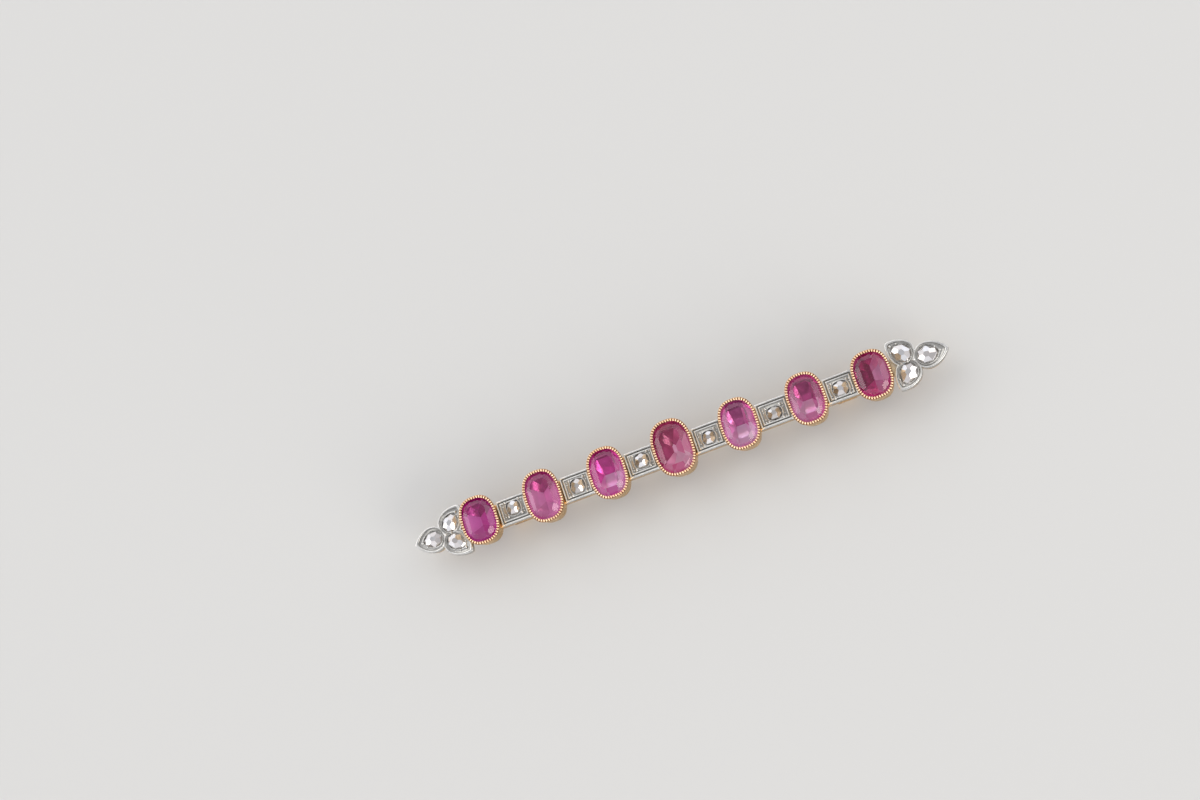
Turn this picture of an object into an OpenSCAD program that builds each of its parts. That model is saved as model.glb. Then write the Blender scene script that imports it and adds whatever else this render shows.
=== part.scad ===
// Bar brooch.
// Seven cushion rubies stand in tall tapered gold collets along a bar. Between them lie six
// white metal plates with one rose-cut diamond each, and a trefoil of three leaf settings,
// each with a diamond, closes either end. X runs along the bar, Y across it, and +Z is the
// face. The brooch lies on its hinge and its catch, with their feet at Z = 0.

/* [Stone row] */
// Distance between neighbouring ruby centres
stone_pitch = 7.57; // [7:0.01:9]
// Usual width of a collet along the bar, from bead line to bead line
collet_w = 3.9; // [3.4:0.05:4.3]
// Usual length of a collet across the bar, from bead line to bead line
collet_l = 5.46; // [4.8:0.02:6.2]
// Squareness of the cushion outline, where 2 is an oval
cushion_power = 2.6; // [2:0.1:3.2]

/* [Ruby collets] */
// Height of the bead line above the plates
collet_rise = 1.3; // [1.2:0.05:1.8]
// Radius of the rolled rim that carries the beads
rim_r = 0.19; // [0.15:0.01:0.2]
// How far a collet draws in from rim to foot, on each side
collet_taper = 0.14; // [0.1:0.02:0.3]
// Wall of a collet at its foot
collet_wall = 0.3; // [0.2:0.05:0.35]

/* [Rubies] */
// Depth of the girdle's upper edge below the bead line
girdle_drop = 0.38; // [0.34:0.01:0.5]
// Thickness of the girdle
girdle_t = 0.1; // [0.05:0.01:0.15]
// Distance from the bead line in to the girdle
girdle_inset = 0.1; // [0.08:0.01:0.13]
// Height of the table above the bead line
table_rise = 0.35; // [0.2:0.05:0.5]
// Depth of the pavilion below the girdle
pavilion_d = 1.75; // [1.4:0.05:1.9]

/* [Bar] */
// Height of the bar's underside above the surface it lies on
bar_z = 2.4; // [2.3:0.1:3.5]
// Width of the gold bar
bar_w = 2.62; // [2.2:0.02:2.8]
// Thickness of the gold bar
bar_t = 1.1; // [0.9:0.05:1.3]

/* [Bar plates] */
// Width of a white metal plate across the bar
plate_w = 2.86; // [2.7:0.02:3.2]
// Thickness of a plate
plate_t = 0.6; // [0.5:0.05:0.8]
// Width of the raised thread round a plate
thread_w = 0.2; // [0.15:0.01:0.25]
// Width of the groove inside the thread
groove_w = 0.14; // [0.1:0.01:0.18]
// Depth of the groove
groove_d = 0.2; // [0.1:0.01:0.3]
// Width of the inner fillet between the groove and the field
fillet_w = 0.16; // [0.1:0.01:0.2]
// Depth of the sunk field round the stone
field_d = 0.14; // [0.08:0.01:0.2]
// Usual length of a plate's diamond along the bar
plate_stone_w = 1.62; // [1.3:0.02:1.7]
// Radius of a setting grain
grain_r = 0.13; // [0.08:0.01:0.16]

/* [Trefoils] */
// Length of a leaf from the point where the three leaves meet to its tip
leaf_l = 3.6; // [3.2:0.05:4.2]
// Greatest width of a leaf
leaf_w = 2.86; // [2.5:0.02:3.1]
// Thickness of the white metal of a leaf
leaf_t = 0.8; // [0.6:0.05:0.9]
// Width of the polished border of a leaf
leaf_border = 0.26; // [0.2:0.01:0.32]
// Depth of the pocket inside the border
leaf_pocket_d = 0.2; // [0.1:0.01:0.25]
// Angle between the bar and a leaf that is folded back
leaf_angle = 49; // [44:1:56]
// Length of a leaf's diamond
leaf_stone_l = 2.15; // [1.8:0.05:2.4]
// Width of a leaf's diamond
leaf_stone_w = 1.75; // [1.4:0.05:1.9]

/* [Diamonds] */
// Height of a rose-cut diamond from its flat back
rose_h = 0.72; // [0.6:0.02:0.9]
// Depth of a diamond's seat below the metal round it
seat_d = 0.4; // [0.34:0.01:0.45]

/* [Pin] */
// Diameter of the pin wire
pin_d = 0.8; // [0.6:0.05:0.9]
// Height of the pin's axis above the surface
pin_z = 1.25; // [1.2:0.05:1.4]
// Length of the wire past the catch, with its point
pin_past = 3.2; // [2.6:0.1:5]
// Width of the hinge and of the catch across the bar
foot_w = 1.8; // [1.8:0.1:2.6]
// Length of the catch along the bar
catch_l = 2.2; // [1.6:0.1:3]

/* [Fit] */
// Gap between pieces that are set against each other
fit_gap = 0.03; // [0.02:0.01:0.05]
// Running gap of the pin's eye on its rivet, and beside it
pin_gap = 0.06; // [0.04:0.01:0.1]

/* [Hidden] */
$fn = 48;
eps = 0.01;

// One row for each ruby: width share of collet_w, length share of collet_l, then its hand-set
// shift along and across the bar as shares of collet_w, and half the length along and across
// the bar of the keel under the stone, as shares of the outline's reach
RUBIES = [
    [1.005, 0.930, 0.000, 0.00, 0.00, 0.34],
    [1.000, 1.015, -0.010, 0.01, 0.00, 0.34],
    [1.010, 0.996, -0.022, -0.02, 0.30, 0.00],
    [1.087, 1.095, 0.000, 0.00, 0.10, 0.20],
    [1.000, 0.989, 0.000, -0.03, 0.30, 0.00],
    [1.005, 1.000, 0.033, -0.03, 0.28, 0.00],
    [1.015, 0.938, 0.000, -0.05, 0.00, 0.34]
];

// One row for each plate's diamond: length share along and across the bar of plate_stone_w,
// then its hand-set shift across the bar as a share of plate_w
PLATE_STONES = [
    [0.95, 1.00, 0.07],
    [1.02, 1.06, -0.03],
    [1.02, 1.02, 0.03],
    [0.94, 0.94, -0.05],
    [1.04, 0.90, -0.05],
    [1.12, 1.02, -0.06]
];

// One row for each trefoil: side, distance from the end collet to the leaves' meeting point
// and the outer leaf's length, both as shares of leaf_l, and the size of its diamonds as a
// share of leaf_stone_l and leaf_stone_w
TREFOILS = [
    [-1, 0.6755, 1.00, 1.00],
    [1, 0.7361, 1.08, 1.10]
];

// Rows of a ruby's facets: azimuth, then the outer and the inner end of the facet's slope,
// each as a share of the outline's reach there and a share of the crown's or pavilion's depth
CROWN = [
    [0, 1, 0.22, 0.55, 1],
    [90, 1, 0.22, 0.66, 1],
    [45, 1, 0.20, 0.67, 1],
    [0, 1, 0, 0.86, 0.56],
    [22.5, 1, 0, 0.86, 0.56],
    [45, 1, 0, 0.86, 0.56],
    [67.5, 1, 0, 0.86, 0.56],
    [90, 1, 0, 0.86, 0.56]
];
PAVILION_CORNERS = [
    [45, 1, 0, 0.74, 0.44],
    [45, 0.74, 0.44, 0.14, 1]
];

// The pavilion's sides and ends go down to the keel in two steps. The break between the steps
// lies at these shares of the reach, for a keel of no length and for a full one, and of the depth.
STEP_REACH = [0.68, 0.84];
STEP_DEPTH = 0.46;
function side_rows(azimuth, keel) =
    let (break_reach = STEP_REACH[0] + (STEP_REACH[1] - STEP_REACH[0]) * keel) [
        [azimuth, 1, 0, break_reach, STEP_DEPTH],
        [azimuth, break_reach, STEP_DEPTH, keel, 1]
    ];
function pavilion(i) =
    concat(PAVILION_CORNERS, side_rows(0, RUBIES[i][4]), side_rows(90, RUBIES[i][5]));

// Leaf and pear outlines: powers of the round end and of the pointed end
LEAF_POWERS = [0.52, 0.78];
PEAR_POWERS = [0.5, 0.62];

// Rose cut: height share of the girdle, then for the middle ring and for the small table the
// share of the outline that they keep and their height share. Points round the girdle.
ROSE_GIRDLE_H = 0.2;
ROSE_MIDDLE = [0.68, 0.68];
ROSE_TABLE = [0.34, 1];
rose_points = 12;

// Levels
bar_top = bar_z + bar_t;
plate_z = bar_top + fit_gap;
plate_top = plate_z + plate_t;
rim_z = plate_top + collet_rise;
girdle_top = rim_z - girdle_drop;
girdle_base = girdle_top - girdle_t;
crown_h = table_rise + girdle_drop;
leaf_top = plate_top;
leaf_z = leaf_top - leaf_t;

// Places along the bar, with the middle of the whole length at X = 0
LAST = len(RUBIES) - 1;
function end_ruby(i) = i == 0 ? 0 : LAST;
function meeting_reach(i) = half_w(end_ruby(i)) + leaf_l * TREFOILS[i][1];
function trefoil_reach(i) = meeting_reach(i) + leaf_l * TREFOILS[i][2];
row_start = (trefoil_reach(0) - trefoil_reach(1) - LAST * stone_pitch) / 2;
function ruby_x(i) = row_start + i * stone_pitch + collet_w * RUBIES[i][2];
function ruby_y(i) = collet_w * RUBIES[i][3];
function half_w(i) = collet_w * RUBIES[i][0] / 2;
function half_l(i) = collet_l * RUBIES[i][1] / 2;
function meeting_x(i) = ruby_x(end_ruby(i)) + TREFOILS[i][0] * meeting_reach(i);
function middle_x(i) = (ruby_x(i) + ruby_x(i + 1)) / 2;
hinge_x = middle_x(0);
catch_x = middle_x(LAST - 1);

// Cushion outline
function signed_power(v, p) = sign(v) * pow(abs(v), p);
function cushion_point(a, b, t) = [
    a * signed_power(cos(t), 2 / cushion_power),
    b * signed_power(sin(t), 2 / cushion_power)
];
function cushion(a, b, n) = [for (k = [0 : n - 1]) cushion_point(a, b, 360 * k / n)];

// Reach of the cushion outline in a direction
dual_power = cushion_power / (cushion_power - 1);
function reach(a, b, az) =
    pow(pow(abs(a * cos(az)), dual_power) + pow(abs(b * sin(az)), dual_power), 1 / dual_power);

// Leaf and pear outlines: they start at X = 0 with the round end and point along +X
function widest(powers) = powers[0] / (powers[0] + powers[1]);
function leaf_half(u, w, powers) =
    w / 2 * pow(u / widest(powers), powers[0]) * pow((1 - u) / (1 - widest(powers)), powers[1]);
function leaf_share(k, n) = (1 - cos(180 * k / n)) / 2;
function leaf_outline(l, w, n, powers) = concat(
    [for (k = [0 : n]) [l * leaf_share(k, n), -leaf_half(leaf_share(k, n), w, powers)]],
    [for (k = [n - 1 : -1 : 1]) [l * leaf_share(k, n), leaf_half(leaf_share(k, n), w, powers)]]
);
leaf_steps = 14;

// The collet's outer wall leans in below the rim
wall_top_z = rim_z - 0.8 * rim_r;
wall_top = 0.6 * rim_r;
function wall_offset(z) =
    -collet_taper + (collet_taper + wall_top) * (z - bar_z) / (wall_top_z - bar_z);
foot_inside = -collet_taper - collet_wall;
foot_middle = -collet_taper - collet_wall / 2;

// Section of a collet: distance outwards from the bead line, and height
bearing = -girdle_inset + fit_gap;
lip_over = 0.28;
seat_under = 0.3;
seat_drop = 0.75;
lip_z = girdle_top + lip_over;
seat_z = girdle_base - seat_under;
COLLET_SECTION = [
    [-collet_taper, bar_z],
    [wall_top, wall_top_z],
    [rim_r, rim_z],
    [0.6 * rim_r, rim_z + 0.8 * rim_r],
    [-0.4 * rim_r, rim_z + 0.9 * rim_r],
    [-rim_r, rim_z],
    [-rim_r, lip_z],
    [bearing, lip_z],
    [bearing, seat_z],
    [foot_inside, seat_z - seat_drop],
    [foot_inside, bar_z]
];
collet_sides = 36;

// A ring whose section is swept round the cushion outline
module cushion_ring(a, b, section, sides) {
    n = len(section);
    points = [for (k = [0 : sides - 1]) for (p = section)
        let (q = cushion_point(a + p[0], b + p[0], 360 * k / sides)) [q[0], q[1], p[1]]];
    faces = [for (k = [0 : sides - 1]) for (j = [0 : n - 1])
        let (k2 = (k + 1) % sides, j2 = (j + 1) % n)
        [k * n + j, k * n + j2, k2 * n + j2, k2 * n + j]];
    polyhedron(points, faces, convexity = 6);
}

module ruby_collet(i) {
    translate([ruby_x(i), ruby_y(i), 0])
        cushion_ring(half_w(i), half_l(i), COLLET_SECTION, collet_sides);
}

// Gold bar between two collets, its ends sunk into their walls
module bar_section(i) {
    from_x = ruby_x(i) + half_w(i) + foot_middle;
    to_x = ruby_x(i + 1) - half_w(i + 1) - foot_middle;
    translate([from_x, -bar_w / 2, bar_z])
        cube([to_x - from_x, bar_w, bar_t]);
}

// Leaf 0 of a trefoil points outwards, leaves 1 and 2 are folded back
LEAVES = [0, 1, 2];
function leaf_turn(leaf) = [0, 180 - leaf_angle, leaf_angle - 180][leaf];
function leaf_length(i, leaf) = leaf_l * (leaf == 0 ? TREFOILS[i][2] : 1);

// Places its children at one leaf of trefoil i, with X along the leaf
module at_leaf(i, leaf) {
    outwards = TREFOILS[i][0] < 0 ? 180 : 0;
    translate([meeting_x(i), 0, 0])
        rotate([0, 0, outwards + leaf_turn(leaf)])
            children();
}

// Gold under the leaves, and the link that joins it to the end collet
back_inset = 0.06;
back_tip_inset = 0.12;
back_top = leaf_z - fit_gap;
back_z = bar_z + 0.3;
link_w = 1.5;
link_t = 0.7;
link_past = 0.8;
module leaf_backs(i) {
    side = TREFOILS[i][0];
    ruby = end_ruby(i);
    wall_x = ruby_x(ruby) + side * (half_w(ruby) + foot_middle);
    translate([0, 0, back_z])
        linear_extrude(back_top - back_z)
            for (leaf = LEAVES)
                at_leaf(i, leaf)
                    translate([back_inset, 0])
                        polygon(leaf_outline(leaf_length(i, leaf) - back_inset - back_tip_inset,
                            leaf_w - 2 * back_inset, leaf_steps, LEAF_POWERS));
    link_end = meeting_x(i) + side * link_past;
    translate([min(wall_x, link_end), -link_w / 2, bar_z])
        cube([abs(wall_x - link_end), link_w, link_t]);
}

// The hinge and the catch end halfway up in the bar
foot_top = bar_z + bar_t / 2;

// Hinge: two ears under the bar, and the rivet through them
ear_l = 2.4;
eye_w = 0.8;
rivet_r = 0.35;
rivet_inset = 0.2;
module hinge() {
    inside = eye_w / 2 + pin_gap;
    ear_t = foot_w / 2 - inside;
    for (ear_y = [-foot_w / 2, inside])
        translate([hinge_x - ear_l / 2, ear_y, 0])
            cube([ear_l, ear_t, foot_top]);
    translate([hinge_x, 0, pin_z])
        rotate([90, 0, 0])
            cylinder(r = rivet_r, h = foot_w - 2 * rivet_inset, center = true);
}

// Catch: a block with a channel for the pin. Its mouth, to one side, lets the pin pass, and
// the hook below it stands a little higher than the pin's underside.
channel_gap = 0.2;
mouth_gap = 0.1;
module pin_catch() {
    channel_r = pin_d / 2 + channel_gap;
    mouth_h = pin_d + mouth_gap;
    translate([catch_x, 0, 0])
        rotate([90, 0, 90])
            linear_extrude(catch_l, center = true)
                difference() {
                    translate([-foot_w / 2, 0])
                        square([foot_w, foot_top]);
                    translate([0, pin_z])
                        circle(r = channel_r);
                    translate([-foot_w, pin_z + channel_r - mouth_h])
                        square([foot_w, mouth_h]);
                }
}

module gold_frame() {
    color("goldenrod")
        union() {
            for (i = [0 : LAST]) ruby_collet(i);
            for (i = [0 : LAST - 1]) bar_section(i);
            for (i = [0, 1]) leaf_backs(i);
            hinge();
            pin_catch();
        }
}

// A centred block
module slab(l, w, z, h) {
    translate([-l / 2, -w / 2, z])
        cube([l, w, h]);
}

// One grain of metal, half sunk
module grain(p, z) {
    translate([p[0], p[1], z])
        sphere(r = grain_r, $fn = 16);
}

// Half sizes of a plate's diamond, and where a grain stands clear of its rounded corner
function plate_stone(i) = [
    plate_stone_w * PLATE_STONES[i][0] / 2,
    plate_stone_w * PLATE_STONES[i][1] / 2
];
function grain_place(half) =
    half * pow(0.5, 1 / cushion_power) + (grain_r + 2 * fit_gap) * cos(45);

seat_points = 32;
module bar_plate(i) {
    from_x = ruby_x(i) + half_w(i) + wall_offset(plate_top) + fit_gap;
    to_x = ruby_x(i + 1) - half_w(i + 1) - wall_offset(plate_top) - fit_gap;
    l = to_x - from_x;
    groove_in = 2 * thread_w;
    fillet_in = groove_in + 2 * groove_w;
    field_in = fillet_in + 2 * fillet_w;
    stone = plate_stone(i);
    shift = PLATE_STONES[i][2] * plate_w;
    color("gainsboro")
        translate([(from_x + to_x) / 2, 0, 0]) {
            difference() {
                slab(l, plate_w, plate_z, plate_t);
                difference() {
                    slab(l - groove_in, plate_w - groove_in, plate_top - groove_d, groove_d + eps);
                    slab(l - fillet_in, plate_w - fillet_in, plate_z, 2 * plate_t);
                }
                slab(l - field_in, plate_w - field_in, plate_top - field_d, field_d + eps);
                translate([0, shift, plate_top - seat_d])
                    linear_extrude(seat_d + eps)
                        polygon(cushion(stone[0] + fit_gap, stone[1] + fit_gap, seat_points));
            }
            for (sx = [-1, 1], sy = [-1, 1])
                grain([sx * grain_place(stone[0]), shift + sy * grain_place(stone[1])],
                    plate_top - field_d);
        }
}

// White metal that fills the notch between the folded leaves and the end collet
bridge_w = 2;
bridge_drop = 0.3;
bridge_past = 0.2;
module bridge(i) {
    side = TREFOILS[i][0];
    ruby = end_ruby(i);
    wall_x = ruby_x(ruby) + side * (half_w(ruby) + wall_offset(leaf_top) + 2 * fit_gap);
    bridge_end = meeting_x(i) + side * bridge_past;
    translate([min(wall_x, bridge_end), -bridge_w / 2, leaf_z])
        cube([abs(wall_x - bridge_end), bridge_w, leaf_t - bridge_drop]);
}

// A leaf's diamond starts this far from the point where the leaves meet, and the pocket ends
// this far from the leaf's tip
leaf_stone_x = 0.4;
tip_border = 0.55;
function leaf_stone(i) = [leaf_stone_l, leaf_stone_w] * TREFOILS[i][3];
module trefoil(i) {
    stone = leaf_stone(i);
    color("gainsboro")
        difference() {
            union() {
                bridge(i);
                translate([0, 0, leaf_z])
                    linear_extrude(leaf_t)
                        for (leaf = LEAVES)
                            at_leaf(i, leaf)
                                polygon(leaf_outline(leaf_length(i, leaf), leaf_w, leaf_steps,
                                    LEAF_POWERS));
            }
            for (leaf = LEAVES) at_leaf(i, leaf) {
                translate([leaf_border, 0, leaf_top - leaf_pocket_d])
                    linear_extrude(leaf_pocket_d + eps)
                        polygon(leaf_outline(leaf_length(i, leaf) - leaf_border - tip_border,
                            leaf_w - 2 * leaf_border, leaf_steps, LEAF_POWERS));
                translate([leaf_stone_x - fit_gap, 0, leaf_top - seat_d])
                    linear_extrude(seat_d + eps)
                        polygon(leaf_outline(stone[0] + 2 * fit_gap, stone[1] + 2 * fit_gap,
                            leaf_steps, PEAR_POWERS));
            }
        }
}

// A ring of a rose cut: every other point of its outline, drawn in towards the middle
function rose_ring(outline, first, middle, level) = [
    for (k = [first : 2 : len(outline) - 1])
        let (p = middle + (outline[k] - middle) * level[0])
        [p[0], p[1], rose_h * level[1]]
];

// Rose cut stone with a flat back: the outline at base and girdle, a ring of half as many
// points above the even ones, and a small table above the odd ones
module rose_cut(outline, middle) {
    n = len(outline);
    half = n / 2;
    points = concat(
        [for (p = outline) [p[0], p[1], 0]],
        [for (p = outline) [p[0], p[1], rose_h * ROSE_GIRDLE_H]],
        rose_ring(outline, 0, middle, ROSE_MIDDLE),
        rose_ring(outline, 1, middle, ROSE_TABLE)
    );
    m = 2 * n;
    t = m + half;
    faces = concat(
        [[for (k = [0 : n - 1]) k]],
        [for (k = [0 : n - 1]) let (k2 = (k + 1) % n) [k, n + k, n + k2, k2]],
        [for (j = [0 : half - 1])
            let (g = n + 2 * j, before = n + (2 * j + n - 1) % n, j2 = (j + 1) % half)
            each [
                [m + j, g + 1, g],
                [m + j, g, before],
                [m + j, m + j2, g + 1],
                [t + j, m + j2, m + j],
                [t + j, t + j2, m + j2]
            ]],
        [[for (j = [half - 1 : -1 : 0]) t + j]]
    );
    polyhedron(points, faces);
}

module plate_diamond(i) {
    stone = plate_stone(i);
    from_x = ruby_x(i) + half_w(i);
    to_x = ruby_x(i + 1) - half_w(i + 1);
    color("white")
        translate([(from_x + to_x) / 2, PLATE_STONES[i][2] * plate_w,
            plate_top - seat_d + fit_gap])
            rose_cut(cushion(stone[0], stone[1], rose_points), [0, 0]);
}

module leaf_diamond(i, leaf) {
    stone = leaf_stone(i);
    color("white")
        at_leaf(i, leaf)
            translate([leaf_stone_x, 0, leaf_top - seat_d + fit_gap])
                rose_cut(leaf_outline(stone[0], stone[1], rose_points / 2, PEAR_POWERS),
                    [stone[0] * widest(PEAR_POWERS), 0]);
}

// Cuts away what lies outside one facet of a stone whose outline has half sizes a and b
module facet_cut(a, b, azimuth, row, depth) {
    r = reach(a, b, azimuth);
    size = 4 * max(a, b);
    slope = atan2((row[4] - row[2]) * depth, (row[1] - row[3]) * r);
    rotate([0, 0, azimuth])
        translate([row[1] * r, 0, row[2] * depth])
            rotate([0, slope, 0])
                translate([-size / 2, -size / 2, 0])
                    cube(size);
}

// A row's facet stands at its azimuth and at the mirrored ones
function azimuths(az) =
    az == 0 ? [0, 180] : az == 90 ? [90, 270] : [az, 180 - az, 180 + az, 360 - az];

// A stone is cut from a cushion-shaped rod. It is convex, so its hull is the stone itself,
// without the slivers that the cuts leave where three facets meet.
module ruby(i) {
    a = half_w(i) - girdle_inset;
    b = half_l(i) - girdle_inset;
    color("mediumvioletred")
        translate([ruby_x(i), ruby_y(i), 0])
            hull()
                difference() {
                    translate([0, 0, girdle_base - pavilion_d])
                        linear_extrude(pavilion_d + girdle_t + crown_h)
                            polygon(cushion(a, b, collet_sides));
                    for (row = CROWN, az = azimuths(row[0]))
                        translate([0, 0, girdle_top])
                            facet_cut(a, b, az, row, crown_h);
                    for (row = pavilion(i), az = azimuths(row[0]))
                        translate([0, 0, girdle_base])
                            mirror([0, 0, 1])
                                facet_cut(a, b, az, row, pavilion_d);
                }
}

// The pin: an eye on the rivet, the wire and its point
eye_wall = 0.45;
eye_r = rivet_r + pin_gap + eye_wall;
wire_sunk = 0.3;
point_l = 1.5;
point_d = 0.16;
module pin_stem() {
    wire_end = catch_x + catch_l / 2 + pin_past - point_l;
    wire_start = hinge_x + eye_r - wire_sunk;
    color("goldenrod")
        difference() {
            union() {
                translate([hinge_x, 0, pin_z])
                    rotate([90, 0, 0])
                        cylinder(r = eye_r, h = eye_w, center = true);
                translate([wire_start, 0, pin_z])
                    rotate([0, 90, 0])
                        cylinder(d = pin_d, h = wire_end - wire_start);
                translate([wire_end, 0, pin_z])
                    rotate([0, 90, 0])
                        cylinder(d1 = pin_d, d2 = point_d, h = point_l);
            }
            translate([hinge_x, 0, pin_z])
                rotate([90, 0, 0])
                    cylinder(r = rivet_r + pin_gap, h = 2 * eye_w, center = true);
        }
}

SIDE_NAMES = ["left", "right"];

gold_frame();
pin_stem();
for (i = [0 : LAST])
    ruby(i);
for (i = [0 : LAST - 1]) {
    bar_plate(i);
    plate_diamond(i);
}
for (i = [0, 1]) {
    trefoil(i);
    for (leaf = LEAVES)
        leaf_diamond(i, leaf);
}
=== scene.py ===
"""A bar brooch: seven cushion rubies in tall beaded gold collets, six white metal plates and
two trefoils with rose-cut diamonds, all on a gold bar that carries a pin.

Sizes are in millimetres. A mesh is scaled to metres when it becomes an object.
"""

import logging
import math
import random
from collections.abc import Iterable, Sequence
from dataclasses import dataclass, field
from enum import Enum

import bmesh
import bpy
from bmesh.types import BMEdge, BMesh, BMFace, BMVert
from mathutils import Matrix, Vector

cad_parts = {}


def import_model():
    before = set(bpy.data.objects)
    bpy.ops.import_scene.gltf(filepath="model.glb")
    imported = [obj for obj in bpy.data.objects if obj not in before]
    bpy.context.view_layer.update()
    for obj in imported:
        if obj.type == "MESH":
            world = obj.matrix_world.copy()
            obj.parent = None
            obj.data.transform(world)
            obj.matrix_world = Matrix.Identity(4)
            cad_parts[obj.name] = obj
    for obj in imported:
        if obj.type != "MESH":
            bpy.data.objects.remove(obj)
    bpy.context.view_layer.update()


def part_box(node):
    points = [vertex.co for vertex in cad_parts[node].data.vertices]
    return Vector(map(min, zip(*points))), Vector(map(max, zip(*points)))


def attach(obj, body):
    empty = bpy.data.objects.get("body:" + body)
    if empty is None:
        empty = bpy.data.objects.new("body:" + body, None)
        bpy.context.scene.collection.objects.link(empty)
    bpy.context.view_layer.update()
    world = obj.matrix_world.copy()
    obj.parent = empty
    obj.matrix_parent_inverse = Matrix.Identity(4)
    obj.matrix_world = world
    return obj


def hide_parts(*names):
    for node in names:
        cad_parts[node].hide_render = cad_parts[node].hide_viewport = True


log = logging.getLogger("bar_brooch")

MM = 0.001
# Painted shade at each point, from 0 to 1: it darkens hollows, grooves, gaps between beads and the
# feet of grains.
PAINTED_SHADE = "painted_shade"
# Painted light and shade of each stone's facets, from 0 for dark to 1 for light, in place of the
# light inside the stones.
PAINTED_LIGHT = "painted_light"
SOFT_EDGE = 50.0
ROUND_STEPS = 3
GRAIN_SIDES = (10, 7)
Ring = list[Vector]
Rings = list[tuple[Ring, float]]
Colour = tuple[float, float, float]


class Slot(Enum):
    """Material slots of the record."""

    GOLD = "gold"
    WHITE_METAL = "white_metal"
    RUBY = "ruby"
    DIAMOND = "diamond"


class Side(Enum):
    """The two ends of the bar."""

    LEFT = -1
    RIGHT = 1

    @property
    def word(self) -> str:
        """Returns the side's name as the pieces use it."""
        return self.name.lower()


@dataclass(frozen=True)
class Levels:
    """Heights above the surface that the brooch lies on."""

    bar_base: float = 2.4
    bar_top: float = 3.5
    plate_base: float = 3.53
    plate_top: float = 4.13
    bead_line: float = 5.43
    girdle_top: float = 5.05
    girdle_base: float = 4.95
    table: float = 5.78
    culet: float = 3.2
    leaf_base: float = 3.33
    back_base: float = 2.7
    back_top: float = 3.3
    pin_axis: float = 1.25


LEVELS = Levels()


def signed_power(value: float, power: float) -> float:
    """Returns a value's power with the value's own sign."""
    return math.copysign(abs(value) ** power, value)


@dataclass(frozen=True)
class Step:
    """One step of a section: how far it is drawn in, its height and how much shade is painted on it.
    """

    inset: float
    height: float
    painted_shade: float = 0.0


@dataclass(frozen=True)
class Grain:
    """A raised grain: its place along and across, and its share of the full size."""

    along: float
    across: float
    share: float


class Outline:
    """A closed outline in the plane, round its own middle."""

    def point(self, turn: float, inset: float = 0.0) -> Vector:
        """Gives one point of the outline.

        Args:
            turn: Place round the outline, from 0 to 2 pi.
            inset: How far the outline is drawn in.

        Returns:
            The point, at height 0.
        """
        raise NotImplementedError

    def ring(self, count: int, inset: float, height: float, turns: Sequence[float] = ()) -> Ring:
        """Gives a ring of points at one height.

        Args:
            count: Number of points.
            inset: How far the outline is drawn in.
            height: The ring's height.
            turns: Places round the outline, or nothing for equal turns.

        Returns:
            The points in order.
        """
        places = turns or [2 * math.pi * k / count for k in range(count)]
        return [self.point(t, inset) + Vector((0, 0, height)) for t in places]

    def rings(self, steps: Sequence[Step], count: int, turns: Sequence[float] = ()) -> Rings:
        """Gives the rings of a section that follows the outline.

        Args:
            steps: The section's steps in order.
            count: Number of points in each ring.
            turns: Places round the outline, or nothing for equal turns.

        Returns:
            Each ring with its painted shade.
        """
        return [(self.ring(count, step.inset, step.height, turns), step.painted_shade) for step in steps]

    def even_turns(self, count: int, inset: float = 0.0, first: float = 0.0) -> list[float]:
        """Gives turns that are the same distance apart along the outline.

        Args:
            count: Number of turns.
            inset: How far the outline is drawn in.
            first: Share of a step by which all turns are moved on.

        Returns:
            The turns in order.
        """
        fine = 720
        points = [self.point(2 * math.pi * k / fine, inset) for k in range(fine + 1)]
        lengths = [0.0]
        for before, after in zip(points, points[1:]):
            lengths.append(lengths[-1] + (after - before).length)
        turns = []
        k = 0
        for j in range(count):
            wanted = lengths[-1] * (j + first) / count
            while lengths[k + 1] < wanted:
                k += 1
            share = (wanted - lengths[k]) / (lengths[k + 1] - lengths[k])
            turns.append(2 * math.pi * (k + share) / fine)
        return turns

    def reach(self, azimuth: float, middle: Vector) -> float:
        """Gives how far the outline reaches from a point in one direction.

        Args:
            azimuth: The direction in radians.
            middle: The point.

        Returns:
            The distance.
        """
        fine = 120
        way = Vector((math.cos(azimuth), math.sin(azimuth), 0))
        return max((p - middle).dot(way) for p in self.ring(fine, 0.0, 0.0))


@dataclass(frozen=True)
class Cushion(Outline):
    """A cushion outline, between an oval and a rectangle."""

    half_x: float
    half_y: float
    squareness: float = 2.6

    def point(self, turn: float, inset: float = 0.0) -> Vector:
        """Gives one point of the outline.

        Args:
            turn: Place round the outline, from 0 to 2 pi.
            inset: How far the outline is drawn in.

        Returns:
            The point, at height 0.
        """
        power = 2 / self.squareness
        x = (self.half_x - inset) * signed_power(math.cos(turn), power)
        y = (self.half_y - inset) * signed_power(math.sin(turn), power)
        return Vector((x, y, 0))


@dataclass(frozen=True)
class Oblong(Outline):
    """A rectangle, whose corners are at odd multiples of an eighth of a turn."""

    half_x: float
    half_y: float

    def point(self, turn: float, inset: float = 0.0) -> Vector:
        """Gives one point of the rectangle.

        Args:
            turn: Place round the rectangle, from 0 to 2 pi.
            inset: How far the rectangle is drawn in.

        Returns:
            The point, at height 0.
        """
        c, s = math.cos(turn), math.sin(turn)
        larger = max(abs(c), abs(s))
        return Vector(((self.half_x - inset) * c / larger, (self.half_y - inset) * s / larger, 0))


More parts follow.
